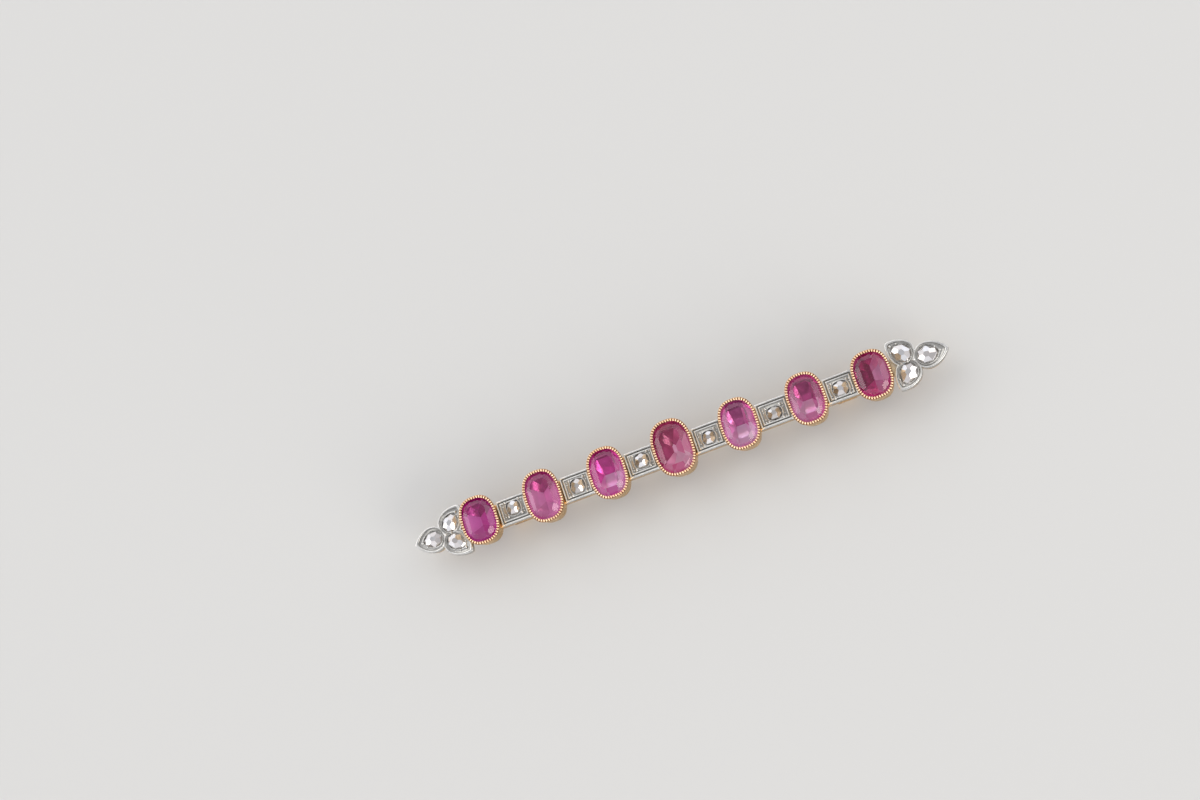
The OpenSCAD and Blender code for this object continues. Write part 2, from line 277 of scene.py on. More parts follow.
@dataclass(frozen=True)
class Leaf(Outline):
    """A leaf or pear outline with its round end at X = 0 and its tip along +X."""

    length: float
    width: float
    round_power: float = 0.52
    point_power: float = 0.78
    start: float = 0.0
    tip_share: float = 2.1

    @property
    def widest(self) -> float:
        """Returns the share of the length at which the leaf is widest."""
        return self.round_power / (self.round_power + self.point_power)

    def half(self, share: float, width: float) -> float:
        """Returns half of the leaf's width at a share of its length."""
        swell = (share / self.widest) ** self.round_power
        return width / 2 * swell * ((1 - share) / (1 - self.widest)) ** self.point_power

    def point(self, turn: float, inset: float = 0.0) -> Vector:
        """Gives one point of the leaf.

        Args:
            turn: Place round the leaf, from 0 at the tip to 2 pi.
            inset: How far the outline is drawn in.

        Returns:
            The point, at height 0.
        """
        share = min(max((1 + math.cos(turn)) / 2, 0.0), 1.0)
        length = self.length - (1 + self.tip_share) * inset
        half = self.half(share, self.width - 2 * inset)
        x = self.start + inset + length * share
        return Vector((x, math.copysign(half, math.sin(turn)), 0))


class Skin:
    """A mesh in the making, which grows from one loop of points to the next."""

    def __init__(self) -> None:
        """Starts an empty mesh with its own value of painted shade at each point."""
        self.mesh: BMesh = bmesh.new()
        self.painted_shade = self.mesh.verts.layers.float.new(PAINTED_SHADE)

    def place(self, loop: Iterable[BMVert], ring: Ring, painted_shade: float) -> None:
        """Moves a loop's points onto a ring.

        Args:
            loop: The loop's vertices in order.
            ring: Where they go.
            painted_shade: How much shade is painted on them, from 0 to 1.
        """
        for vert, spot in zip(loop, ring):
            vert.co = spot
            vert[self.painted_shade] = painted_shade

    def start(self, ring: Ring, painted_shade: float = 0.0) -> list[BMVert]:
        """Starts a new loop.

        Args:
            ring: The loop's points.
            painted_shade: How much shade is painted on them, from 0 to 1.

        Returns:
            The loop's vertices in order.
        """
        made = bmesh.ops.create_circle(self.mesh, cap_ends=False, segments=len(ring), radius=1.0)
        loop = sorted(made["verts"], key=lambda vert: math.atan2(vert.co.y, vert.co.x))
        self.place(loop, ring, painted_shade)
        return loop

    def edges(self, loop: Sequence[BMVert]) -> list[BMEdge]:
        """Returns the edges along a loop."""
        pairs = zip(loop, [*loop[1:], loop[0]])
        return [self.mesh.edges.get(pair) for pair in pairs]

    def grow(self, loop: Sequence[BMVert], ring: Ring, painted_shade: float = 0.0) -> list[BMVert]:
        """Extrudes a loop and moves the new one onto a ring.

        Args:
            loop: The loop to start from.
            ring: Where the new loop goes.
            painted_shade: How much shade is painted on the new points, from 0 to 1.

        Returns:
            The new loop's vertices in order.
        """
        made = bmesh.ops.extrude_edge_only(self.mesh, edges=self.edges(loop))
        fresh = {v for v in made["geom"] if isinstance(v, BMVert)}
        grown = []
        for vert in loop:
            others = (edge.other_vert(vert) for edge in vert.link_edges)
            grown.append(next(v for v in others if v in fresh))
        self.place(grown, ring, painted_shade)
        return grown

    def sweep(self, rings: Rings) -> tuple[list[BMVert], list[BMVert]]:
        """Grows through several rings.

        Args:
            rings: Each ring with its painted shade.

        Returns:
            The first and the last loop.
        """
        first = loop = self.start(*rings[0])
        for ring, painted_shade in rings[1:]:
            loop = self.grow(loop, ring, painted_shade)
        return first, loop

    def cap(self, loop: Sequence[BMVert]) -> None:
        """Closes a loop with one face."""
        bmesh.ops.contextual_create(self.mesh, geom=self.edges(loop))

    def solid(self, rings: Rings) -> None:
        """Grows through several rings and closes both ends."""
        for loop in self.sweep(rings):
            self.cap(loop)

    def weld(self, distance: float = 1e-4) -> None:
        """Merges points that lie on each other."""
        bmesh.ops.remove_doubles(self.mesh, verts=self.mesh.verts, dist=distance)

    def bead(
        self,
        centre: Vector,
        size: Vector,
        azimuth: float = 0.0,
        segments: int = 8,
        rings: int = 6,
    ) -> None:
        """Adds one rounded grain, with shade painted on it towards its foot.

        Args:
            centre: The grain's middle.
            size: Its half lengths along, across and up.
            azimuth: Direction of its length in radians.
            segments: Sides round it.
            rings: Sides from top to foot.
        """
        turn = Matrix.Rotation(azimuth, 4, "Z")
        place = Matrix.Translation(centre) @ turn @ Matrix.Diagonal((*size, 1.0))
        made = bmesh.ops.create_uvsphere(
            self.mesh, u_segments=segments, v_segments=rings, radius=1.0, matrix=place
        )
        # Painted shade: none on the grain's top, half at its middle, full at its foot.
        at_middle = 0.5
        to_top = 1.1
        for vert in made["verts"]:
            height = (vert.co.z - centre.z) / size.z
            vert[self.painted_shade] = min(max(at_middle - to_top * height, 0.0), 1.0)

    def block(self, low: Vector, high: Vector, bevel: float, painted_shade: float = 0.1) -> None:
        """Adds a block with rounded edges.

        Args:
            low: Its lowest corner.
            high: Its highest corner.
            bevel: Width of its rounded edges.
            painted_shade: How much shade is painted on it, from 0 to 1.
        """
        size = high - low
        place = Matrix.Translation((low + high) / 2) @ Matrix.Diagonal((*size, 1.0))
        made = bmesh.ops.create_cube(self.mesh, size=1.0, matrix=place)
        for vert in made["verts"]:
            vert[self.painted_shade] = painted_shade
        edges = list({edge for vert in made["verts"] for edge in vert.link_edges})
        round_edges(self.mesh, edges, bevel, ROUND_STEPS)

    def cut(self, spot: Vector, way: Vector) -> None:
        """Cuts away what lies beyond a plane.

        Args:
            spot: A point of the plane.
            way: The plane's normal, away from what stays.
        """
        mesh = self.mesh
        made = bmesh.ops.bisect_plane(
            mesh,
            geom=[*mesh.verts, *mesh.edges, *mesh.faces],
            dist=1e-5,
            plane_co=spot,
            plane_no=way,
            use_snap_center=False,
            clear_outer=True,
            clear_inner=False,
        )
        edges = [e for e in made["geom_cut"] if isinstance(e, BMEdge) and e.is_boundary]
        if edges:
            bmesh.ops.edgeloop_fill(mesh, edges=edges)

    def turn(self, matrix: Matrix) -> None:
        """Moves and turns the whole mesh."""
        bmesh.ops.transform(self.mesh, matrix=matrix, verts=self.mesh.verts)


def round_edges(mesh: BMesh, edges: Sequence[BMEdge], width: float, segments: int) -> None:
    """Rounds edges of a mesh.

    Args:
        mesh: The mesh.
        edges: The edges to round.
        width: Width of the rounding.
        segments: Number of faces across it.
    """
    bmesh.ops.bevel(
        mesh,
        geom=edges,
        offset=width,
        offset_type="OFFSET",
        affect="EDGES",
        segments=segments,
        profile=0.5,
        material=-1,
        clamp_overlap=True,
    )


def make_piece(
    name: str,
    mesh: BMesh,
    finishes: bpy.types.Material | Sequence[bpy.types.Material],
    nodes: Sequence[str],
    sharp_from: float = 40.0,
) -> bpy.types.Object:
    """Turns a mesh in millimetres into a piece that rides with the brooch.

    Args:
        name: The piece's name.
        mesh: The mesh, which is used up.
        finishes: Its material, or several where its faces say which they take.
        nodes: The solids that it stands for.
        sharp_from: Angle in degrees from which an edge stays sharp, or 0 for flat facets.

    Returns:
        The object, at the origin.
    """
    bmesh.ops.recalc_face_normals(mesh, faces=mesh.faces)
    bmesh.ops.scale(mesh, vec=(MM, MM, MM), verts=mesh.verts)
    data = bpy.data.meshes.new(name)
    mesh.to_mesh(data)
    mesh.free()
    data.polygons.foreach_set("use_smooth", [sharp_from > 0] * len(data.polygons))
    if sharp_from > 0:
        data.set_sharp_from_angle(angle=math.radians(sharp_from))
    for finish in [finishes] if isinstance(finishes, bpy.types.Material) else finishes:
        data.materials.append(finish)
    piece = bpy.data.objects.new(name, data)
    bpy.context.scene.collection.objects.link(piece)
    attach(piece, "root")
    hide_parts(*nodes)
    log.info("%s: %d faces", name, len(data.polygons))
    return piece


class Palette:
    """A material in the making: its nodes and its main shader."""

    def __init__(self, name: str) -> None:
        """Starts a material with one main shader.

        Args:
            name: The material's name.
        """
        self.material = bpy.data.materials.new(name)
        self.material.use_nodes = True
        self.tree = self.material.node_tree
        self.shader = self.tree.nodes["Principled BSDF"]
        place = self.add("ShaderNodeTexCoord")
        scale = self.add("ShaderNodeMapping")
        scale.inputs["Scale"].default_value = (1 / MM, 1 / MM, 1 / MM)
        self.link(place.outputs["Object"], scale.inputs["Vector"])
        self.millimetres = scale.outputs["Vector"]

    def add(self, kind: str) -> bpy.types.Node:
        """Adds a node of one kind."""
        return self.tree.nodes.new(kind)

    def link(self, source: bpy.types.NodeSocket, target: bpy.types.NodeSocket) -> None:
        """Joins two sockets."""
        self.tree.links.new(source, target)

    def set(self, **values: object) -> None:
        """Sets the main shader's plain values by the sockets' names, with _ for a space."""
        for name, value in values.items():
            self.shader.inputs[name.replace("_", " ")].default_value = value

    def noise(self, scale: float, detail: float = 3.0) -> bpy.types.NodeSocket:
        """Adds noise in millimetre space.

        Args:
            scale: Waves in a millimetre.
            detail: Octaves of finer noise.

        Returns:
            The socket with the noise, about 0.5 on average.
        """
        node = self.add("ShaderNodeTexNoise")
        node.inputs["Scale"].default_value = scale
        node.inputs["Detail"].default_value = detail
        self.link(self.millimetres, node.inputs["Vector"])
        return node.outputs["Fac"]

    def attribute(self, name: str) -> bpy.types.NodeSocket:
        """Reads a value that the mesh carries.

        Args:
            name: The value's name.

        Returns:
            The socket with the value.
        """
        node = self.add("ShaderNodeAttribute")
        node.attribute_name = name
        return node.outputs["Fac"]

    def span(
        self, value: bpy.types.NodeSocket, low: float, high: float, ends: tuple[float, float]
    ) -> bpy.types.NodeSocket:
        """Maps a value from one range to another.

        Args:
            value: The socket with the value.
            low: The value that gives the first end.
            high: The value that gives the second end.
            ends: The two ends.

        Returns:
            The socket with the mapped value.
        """
        node = self.add("ShaderNodeMapRange")
        node.inputs["From Min"].default_value = low
        node.inputs["From Max"].default_value = high
        node.inputs["To Min"].default_value = ends[0]
        node.inputs["To Max"].default_value = ends[1]
        self.link(value, node.inputs["Value"])
        return node.outputs["Result"]

    def ramp(
        self, value: bpy.types.NodeSocket, stops: Sequence[tuple[float, Colour]]
    ) -> bpy.types.NodeSocket:
        """Turns a value into a colour.

        Args:
            value: The socket with the value.
            stops: Places from 0 to 1, each with its colour.

        Returns:
            The socket with the colour.
        """
        node = self.add("ShaderNodeValToRGB")
        elements = node.color_ramp.elements
        while len(elements) < len(stops):
            elements.new(1.0)
        for element, (place, colour) in zip(elements, stops):
            element.position = place
            element.color = (*colour, 1.0)
        self.link(value, node.inputs["Fac"])
        return node.outputs["Color"]

    def blend(
        self, factor: bpy.types.NodeSocket, first: bpy.types.NodeSocket, second: Colour
    ) -> bpy.types.NodeSocket:
        """Mixes a plain colour into another by a factor.

        Args:
            factor: The socket with the factor.
            first: The socket with the colour at factor 0.
            second: The colour at factor 1.

        Returns:
            The socket with the mixed colour.
        """
        node = self.add("ShaderNodeMix")
        node.data_type = "RGBA"
        self.link(factor, node.inputs["Factor"])
        self.link(first, node.inputs[6])
        node.inputs[7].default_value = (*second, 1.0)
        return node.outputs[2]

    def total(
        self, first: bpy.types.NodeSocket, second: bpy.types.NodeSocket
    ) -> bpy.types.NodeSocket:
        """Adds two values.

        Args:
            first: The socket with one value.
            second: The socket with the other.

        Returns:
            The socket with their sum.
        """
        node = self.add("ShaderNodeMath")
        node.operation = "ADD"
        self.link(first, node.inputs[0])
        self.link(second, node.inputs[1])
        return node.outputs["Value"]

    def bump(self, height: bpy.types.NodeSocket, depth: float) -> None:
        """Roughens the surface.

        Args:
            height: The socket with the height, from 0 to 1.
            depth: What a height of 1 is in millimetres.
        """
        strength = 0.6
        node = self.add("ShaderNodeBump")
        node.inputs["Strength"].default_value = strength
        node.inputs["Distance"].default_value = depth * MM
        self.link(height, node.inputs["Height"])
        self.link(node.outputs["Normal"], self.shader.inputs["Normal"])


@dataclass(frozen=True)
class GoldFinish:
    """Warm yellow gold with a soft polish, darker in its hollows and between its beads with painted
    shade.
    """

    bright: Colour = (0.90, 0.70, 0.47)
    warm: Colour = (0.84, 0.60, 0.38)
    # Colour of the painted shade in hollows, between and under the beads and inside the collets.
    painted_shade_colour: Colour = (0.34, 0.14, 0.07)
    slant: Colour = (1.0, 0.86, 0.62)
    roughness: tuple[float, float] = (0.17, 0.28)
    bump_depth: float = 0.004

    def make(self) -> bpy.types.Material:
        """Makes the gold, with a warm tint where it is seen at a slant.

        Returns:
            The material.
        """
        palette = Palette("gold")
        patches = palette.noise(scale=0.8, detail=1.0)
        tint = palette.ramp(patches, [(0.3, self.warm), (0.65, self.bright)])
        # Painted shade: the shade colour is mixed in as far as each point is marked.
        colour = palette.blend(palette.attribute(PAINTED_SHADE), tint, self.painted_shade_colour)
        palette.link(colour, palette.shader.inputs["Base Color"])
        wear = palette.noise(scale=1.5, detail=1.0)
        rough = palette.span(wear, low=0.3, high=0.7, ends=self.roughness)
        palette.link(rough, palette.shader.inputs["Roughness"])
        palette.set(Metallic=1.0, Specular_Tint=(*self.slant, 1.0))
        palette.bump(palette.noise(scale=1.2, detail=1.0), self.bump_depth)
        return palette.material


@dataclass(frozen=True)
class WhiteMetalFinish:
    """White metal with painted grey shade in its hollows and hand-worked tops."""

    bright: Colour = (0.68, 0.67, 0.64)
    dull: Colour = (0.56, 0.55, 0.52)
    # Colour of the painted shade in grooves, seats and round the grains.
    painted_shade_colour: Colour = (0.24, 0.23, 0.205)
    roughness: tuple[float, float] = (0.22, 0.40)
    bump_depth: float = 0.002

    def make(self) -> bpy.types.Material:
        """Makes the white metal.

        Returns:
            The material.
        """
        palette = Palette("white_metal")
        patches = palette.noise(scale=1.4, detail=2.0)
        tint = palette.ramp(patches, [(0.3, self.dull), (0.62, self.bright)])
        # Painted shade: the shade colour is mixed in as far as each point is marked.
        colour = palette.blend(palette.attribute(PAINTED_SHADE), tint, self.painted_shade_colour)
        palette.link(colour, palette.shader.inputs["Base Color"])
        wear = palette.noise(scale=3.0, detail=1.0)
        rough = palette.span(wear, low=0.3, high=0.7, ends=self.roughness)
        palette.link(rough, palette.shader.inputs["Roughness"])
        palette.set(Metallic=1.0)
        palette.bump(palette.noise(scale=6.0, detail=2.0), self.bump_depth)
        return palette.material


@dataclass(frozen=True)
class Tones:
    """Painted light and shade of a stone's facets by the way they face, from 0 to 1."""

    up: float
    down: float
    left: float
    right: float
    flat: float = 0.6

    def of(self, way: Vector) -> float:
        """Gives the painted light of one facet.

        Args:
            way: The facet's normal.

        Returns:
            The painted light, from 0 for dark to 1 for light.
        """
        sides = way.x**2 + way.y**2
        level = 0.01
        if sides < level:
            return self.flat
        across = (self.up if way.y > 0 else self.down) * way.y**2
        along = (self.right if way.x > 0 else self.left) * way.x**2
        return (across + along) / sides


@dataclass(frozen=True)
class RubyFinish:
    """Ruby with a dark, a body and a light shade, which paint light and shade onto its facets: a
    clear crown over a bright pavilion.

    It also gives the painted light of the facets of the pavilion below and of the crown above, and
    half the length along and across the bar of the keel under the stone.
    """

    name: str
    dark: Colour
    body: Colour
    light: Colour
    below: Tones
    above: Tones
    keel: tuple[float, float] = (0.0, 0.34)
    haze: float = 0.0
    mirror: float = 0.6
    tint: Colour = (1.0, 0.74, 0.88)
    clear: Colour = (1.0, 0.94, 0.98)
    crown_ior: float = 1.55
    silk: tuple[float, float] = (-0.07, 0.07)
    pavilion_roughness: float = 0.12

    def make(self) -> list[bpy.types.Material]:
        """Returns the crown's material and the pavilion's."""
        return [self.crown(), self.pavilion()]

    def crown(self) -> bpy.types.Material:
        """Makes the clear crown and girdle.

        Returns:
            The material, tinted by each facet's painted light.
        """
        palette = Palette(f"{self.name}_crown")
        painted_light = palette.attribute(PAINTED_LIGHT)
        stops = [(0.0, self.body), (0.5, self.tint), (1.0, self.clear)]
        palette.link(palette.ramp(painted_light, stops), palette.shader.inputs["Base Color"])
        palette.set(Roughness=self.haze, IOR=self.crown_ior, Transmission_Weight=1.0)
        return palette.material

    def pavilion(self) -> bpy.types.Material:
        """Makes the facets that send the light back, with a little silk in the stone.

        Returns:
            The material, shaded by each facet's painted light and shade.
        """
        palette = Palette(f"{self.name}_pavilion")
        clouds = palette.noise(scale=1.1, detail=2.0)
        silk = palette.span(clouds, low=0.3, high=0.7, ends=self.silk)
        painted_light = palette.total(palette.attribute(PAINTED_LIGHT), silk)
        stops = [(0.0, self.dark), (0.5, self.body), (1.0, self.light)]
        palette.link(palette.ramp(painted_light, stops), palette.shader.inputs["Base Color"])
        palette.set(Roughness=self.pavilion_roughness, Metallic=self.mirror)
        return palette.material


# Each ruby's shades and the painted light and shade of its pavilion and crown facets.
RUBIES = (
    RubyFinish(
        name="ruby_hazy",
        dark=(0.30, 0.01, 0.14),
        body=(0.66, 0.06, 0.42),
        light=(1.0, 0.32, 0.84),
        below=Tones(up=0.1, down=0.6, left=1.0, right=0.4),
        above=Tones(up=0.0, down=0.2, left=0.4, right=0.9),
        haze=0.06,
        mirror=0.2,
    ),
    RubyFinish(
        name="ruby_lilac",
        dark=(0.34, 0.03, 0.18),
        body=(0.70, 0.11, 0.40),
        light=(0.98, 0.46, 0.78),
        below=Tones(up=0.1, down=0.8, left=0.8, right=0.6),
        above=Tones(up=0.2, down=0.5, left=1.0, right=0.5),
        haze=0.04,
        mirror=0.3,
    ),
    RubyFinish(
        name="ruby_magenta",
        dark=(0.34, 0.01, 0.15),
        body=(0.96, 0.10, 0.58),
        light=(1.0, 0.70, 0.94),
        below=Tones(up=0.0, down=1.1, left=0.5, right=0.6, flat=0.9),
        above=Tones(up=0.1, down=0.2, left=1.0, right=1.0, flat=1.0),
        keel=(0.30, 0.0),
        mirror=0.35,
    ),
    RubyFinish(
        name="ruby_raspberry",
        dark=(0.34, 0.02, 0.11),
        body=(0.88, 0.15, 0.42),
        light=(1.0, 0.70, 0.82),
        below=Tones(up=0.0, down=1.1, left=0.1, right=0.5, flat=1.0),
        above=Tones(up=0.1, down=0.0, left=0.6, right=1.0, flat=0.9),
        keel=(0.10, 0.20),
        mirror=0.2,
    ),
    RubyFinish(
        name="ruby_plum",
        dark=(0.30, 0.02, 0.15),
        body=(1.0, 0.27, 0.66),
        light=(1.0, 0.72, 0.95),
        below=Tones(up=-0.1, down=1.1, left=0.6, right=0.6),
        above=Tones(up=0.4, down=0.5, left=1.0, right=1.0, flat=1.0),
        keel=(0.30, 0.0),
        mirror=0.4,
    ),
    RubyFinish(
        name="ruby_rose",
        dark=(0.30, 0.02, 0.13),
        body=(0.96, 0.20, 0.56),
        light=(1.0, 0.66, 0.88),
        below=Tones(up=0.0, down=1.0, left=0.7, right=0.3),
        above=Tones(up=0.3, down=0.0, left=1.0, right=0.6, flat=1.0),
        keel=(0.28, 0.0),
        mirror=0.4,
    ),
    RubyFinish(
        name="ruby_deep",
        dark=(0.28, 0.01, 0.10),
        body=(0.92, 0.11, 0.42),
        light=(1.0, 0.62, 0.86),
        below=Tones(up=0.2, down=0.7, left=0.0, right=1.2),
        above=Tones(up=0.5, down=0.3, left=0.9, right=0.1),
        mirror=0.4,
    ),
)


@dataclass(frozen=True)
class DiamondFinish:
    """Old rose-cut diamond: warm white, with facets painted grey to white as reflections, and a peach
    back.
    """

    dark: Colour = (0.60, 0.56, 0.53)
    body: Colour = (0.96, 0.91, 0.87)
    light: Colour = (1.0, 1.0, 1.0)
    back: Colour = (1.0, 0.90, 0.83)
    polish: float = 0.03
    ior: float = 2.4
    mirror: float = 0.6
    back_roughness: float = 0.5

    def make(self) -> list[bpy.types.Material]:
        """Makes the cut top and the flat back.

        Returns:
            The top's material and the back's.
        """
        top = Palette("diamond")
        # Painted reflection: each facet's mark picks its colour from grey to white.
        stops = [(0.0, self.dark), (0.5, self.body), (1.0, self.light)]
        tint = top.ramp(top.attribute(PAINTED_LIGHT), stops)
        top.link(tint, top.shader.inputs["Base Color"])
        top.set(
            Roughness=self.polish, IOR=self.ior, Transmission_Weight=1.0, Metallic=self.mirror
        )
        back = Palette("diamond_back")
        shade = back.ramp(back.noise(scale=0.9), [(0.35, self.body), (0.65, self.back)])
        back.link(shade, back.shader.inputs["Base Color"])
        back.set(Roughness=self.back_roughness)
        return [top.material, back.material]


@dataclass(frozen=True)
class FloorFinish:
    """Plain pale matt floor."""

    colour: Colour = (0.56, 0.555, 0.53)
    roughness: float = 0.85

    def make(self) -> bpy.types.Material:
        """Makes the floor's finish.

        Returns:
            The material.
        """
        palette = Palette("pale_floor")
        palette.set(Base_Color=(*self.colour, 1.0), Roughness=self.roughness)
        return palette.material


@dataclass
class RubyCollet:
    """A tall gold collet with a beaded rim round one ruby."""

    number: int
    middle: Vector
    outline: Cushion
    gold: bpy.types.Material
    sides: int = 96
    wall: float = 0.3
    taper: float = 0.14
    bead_size: Vector = Vector((0.2, 0.119, 0.17))
    bead_step: float = 0.29
    bead_sides: int = 10
    bead_sunk: float = 0.03
    bead_shares: tuple[float, float] = (0.92, 1.0)
    bead_insets: tuple[float, float] = (0.02, 0.04)
    bead_rises: tuple[float, float] = (-0.015, 0.0)
    bead_seed: int = 100

    def steps(self) -> list[Step]:
        """Gives the collet's section, up the outside, over the rim and down the inside.

        Returns:
            The steps in order. A negative inset lies outside the bead line.
        """
        line = LEVELS.bead_line
        base = LEVELS.bar_base
        seat = LEVELS.girdle_base
        inner = self.taper + self.wall
        # The third value of each step is painted shade: darkest under the beads and down the inside,
        # faint on the outer wall.
        return [
            Step(inner, base, 0.3),
            Step(self.taper + 0.04, base, 0.1),
            Step(self.taper, base + 0.05, 0.1),
            Step(-0.07, line - 0.42),
            Step(-0.13, line - 0.30),
            Step(-0.16, line - 0.22, 0.1),
            Step(-0.16, line - 0.16, 0.2),
            Step(-0.14, line - 0.11, 0.7),
            Step(-0.08, line - 0.10, 1.0),
            Step(0.0, line - 0.10, 1.0),
            Step(0.06, line - 0.13, 1.0),
            Step(0.08, line - 0.18, 1.0),
            Step(0.08, line - 0.24, 1.0),
            Step(0.07, seat - 0.3, 1.0),
            Step(inner, seat - 1.05, 0.6),
            Step(inner, base, 0.3),
        ]

    def build(self) -> bpy.types.Object:
        """Builds the collet and its beads.

        Returns:
            The piece.
        """
        skin = Skin()
        turns = self.outline.even_turns(self.sides)
        skin.sweep(self.outline.rings(self.steps(), self.sides, turns))
        skin.weld()
        self.add_beads(skin)
        skin.turn(Matrix.Translation(self.middle))
        name = f"collet_{self.number}"
        return make_piece(name, skin.mesh, self.gold, ["gold_frame"])

    def add_beads(self, skin: Skin) -> None:
        """Sets hand-cut beads along the rim.

        Args:
            skin: The collet round its own middle.
        """
        near = 0.01
        chance = random.Random(self.bead_seed + self.number)
        count = round(self.rim_length() / self.bead_step)
        for turn in self.outline.even_turns(count):
            share = chance.uniform(*self.bead_shares)
            spot = self.outline.point(turn, chance.uniform(*self.bead_insets))
            spot.z = LEVELS.bead_line - self.bead_sunk + chance.uniform(*self.bead_rises)
            along = self.outline.point(turn + near) - self.outline.point(turn - near)
            azimuth = math.atan2(along.y, along.x) + math.pi / 2
            skin.bead(spot, self.bead_size * share, azimuth, self.bead_sides)

    def rim_length(self) -> float:
        """Gives the length of the bead line.

        Returns:
            The length in millimetres.
        """
        fine = 240
        points = self.outline.ring(fine, 0.0, 0.0)
        return sum((a - b).length for a, b in zip(points, [*points[1:], points[0]]))


@dataclass(frozen=True)
class Facet:
    """The slope of a facet, as shares of the outline's reach and of the part's depth."""

    azimuth: float
    outer: float
    outer_depth: float
    inner: float
    inner_depth: float

    def azimuths(self) -> list[float]:
        """Returns the azimuth and its mirrored ones, in degrees."""
        first = self.azimuth
        return sorted({turn % 360 for turn in (first, 180 - first, 180 + first, 360 - first)})


@dataclass(frozen=True)
class FacetRing:
    """Equal facets round a stone: their number, the first one's azimuth and their slope."""

    count: int
    first: float
    slope: Facet


class Stone:
    """A stone cut from a rod by planes."""

    SIDES = 48
    SPECK = 2e-3
    SLIVER = 1e-4

    def __init__(self, outline: Outline, middle: Vector, base: float, top: float) -> None:
        """Starts a rod with the stone's outline.

        Args:
            outline: The stone's outline.
            middle: The point above which its facets meet.
            base: The rod's lower end.
            top: The rod's upper end.
        """
        self.outline = outline
        self.middle = middle
        self.ways = [Vector((0, 0, 1)), Vector((0, 0, -1))]
        self.skin = Skin()
        turns = outline.even_turns(self.SIDES)
        self.skin.solid(outline.rings([Step(0.0, base), Step(0.0, top)], self.SIDES, turns))
        bmesh.ops.recalc_face_normals(self.skin.mesh, faces=self.skin.mesh.faces)

    def facet(self, azimuth: float, slope: Facet, level: float, depth: float) -> None:
        """Cuts one facet.

        Args:
            azimuth: Its direction in degrees.
            slope: Its slope.
            level: Height from which its depths count.
            depth: Height of the crown, or minus that of the pavilion.
        """
        turn = math.radians(azimuth)
        reach = self.outline.reach(turn, self.middle)
        way = Vector((math.cos(turn), math.sin(turn), 0))
        spot = self.middle + way * slope.outer * reach
        spot.z = level + slope.outer_depth * depth
        run = (slope.outer - slope.inner) * reach
        rise = (slope.inner_depth - slope.outer_depth) * depth
        normal = way * abs(rise) + Vector((0, 0, math.copysign(run, depth)))
        self.ways.append(normal.normalized())
        self.skin.cut(spot, normal)

    def cut_of(self, face: BMFace) -> int:
        """Finds the cut that a face comes from, so that its painted light is the same each time.

        Args:
            face: A face of the finished stone.

        Returns:
            The cut's number, or 0 for the table and 1 for a flat back.
        """
        return max(range(len(self.ways)), key=lambda k: self.ways[k].dot(face.normal))

    def finish(self) -> BMesh:
        """Cleans the cut stone.

        Returns:
            Its mesh.
        """
        self.skin.weld(self.SPECK)
        mesh = self.skin.mesh
        bmesh.ops.dissolve_degenerate(mesh, edges=mesh.edges, dist=self.SLIVER)
        bmesh.ops.recalc_face_normals(mesh, faces=mesh.faces)
        return mesh


@dataclass
class Ruby:
    """A cushion-cut ruby with a step-cut pavilion."""

    number: int
    middle: Vector
    outline: Cushion
    finish: RubyFinish
    crown: tuple[Facet, ...] = (
        Facet(0, 1, 0.22, 0.55, 1),
        Facet(90, 1, 0.22, 0.66, 1),
        Facet(45, 1, 0.20, 0.67, 1),
        Facet(0, 1, 0, 0.86, 0.56),
        Facet(22.5, 1, 0, 0.86, 0.56),
        Facet(45, 1, 0, 0.86, 0.56),
        Facet(67.5, 1, 0, 0.86, 0.56),
        Facet(90, 1, 0, 0.86, 0.56),
    )
    step_reach: tuple[float, float] = (0.68, 0.84)
    step_depth: float = 0.46
    corners: tuple[Facet, ...] = (Facet(45, 1, 0, 0.74, 0.44), Facet(45, 0.74, 0.44, 0.14, 1))
    turned_down: float = -0.05
    # Random shift of each cut's painted light.
    light_spread: float = 0.2

    def pavilion(self) -> list[Facet]:
        """Gives the pavilion's slopes, in two steps down to the keel.

        Returns:
            The slopes of its corners and of its sides.
        """
        along, across = self.finish.keel
        near, far = self.step_reach
        depth = self.step_depth
        slopes = [*self.corners]
        for azimuth, keel in ((0, along), (90, across)):
            step = near + (far - near) * keel
            slopes.append(Facet(azimuth, 1, 0, step, depth))
            slopes.append(Facet(azimuth, step, depth, keel, 1))
        return slopes

    def build(self) -> bpy.types.Object:
        """Cuts the stone and paints light and shade onto each facet.

        Returns:
            The piece.
        """
        stone = Stone(self.outline, Vector(), LEVELS.culet, LEVELS.table)
        crown_height = LEVELS.table - LEVELS.girdle_top
        pavilion_depth = LEVELS.girdle_base - LEVELS.culet
        for slope in self.crown:
            for azimuth in slope.azimuths():
                stone.facet(azimuth, slope, LEVELS.girdle_top, crown_height)
        for slope in self.pavilion():
            for azimuth in slope.azimuths():
                stone.facet(azimuth, slope, LEVELS.girdle_base, -pavilion_depth)
        mesh = stone.finish()
        self.painted_light(mesh, stone)
        bmesh.ops.translate(mesh, vec=self.middle, verts=mesh.verts)
        name = f"cut_ruby_{self.number}"
        finishes = self.finish.make()
        nodes = [f"ruby_{self.number}"]
        return make_piece(name, mesh, finishes, nodes, sharp_from=0)

    def painted_light(self, mesh: BMesh, stone: Stone) -> None:
        """Marks the painted light of each facet.

        Args:
            mesh: The cut stone's mesh.
            stone: The stone, which knows its cuts.
        """
        chance = random.Random(self.number)
        spread = self.light_spread
        shifts = [chance.uniform(-spread, spread) for _ in stone.ways]
        layer = mesh.faces.layers.float.new(PAINTED_LIGHT)
        for face in mesh.faces:
            below = face.normal.z < self.turned_down
            face.material_index = int(below)
            tones = self.finish.below if below else self.finish.above
            face[layer] = tones.of(face.normal) + shifts[stone.cut_of(face)]


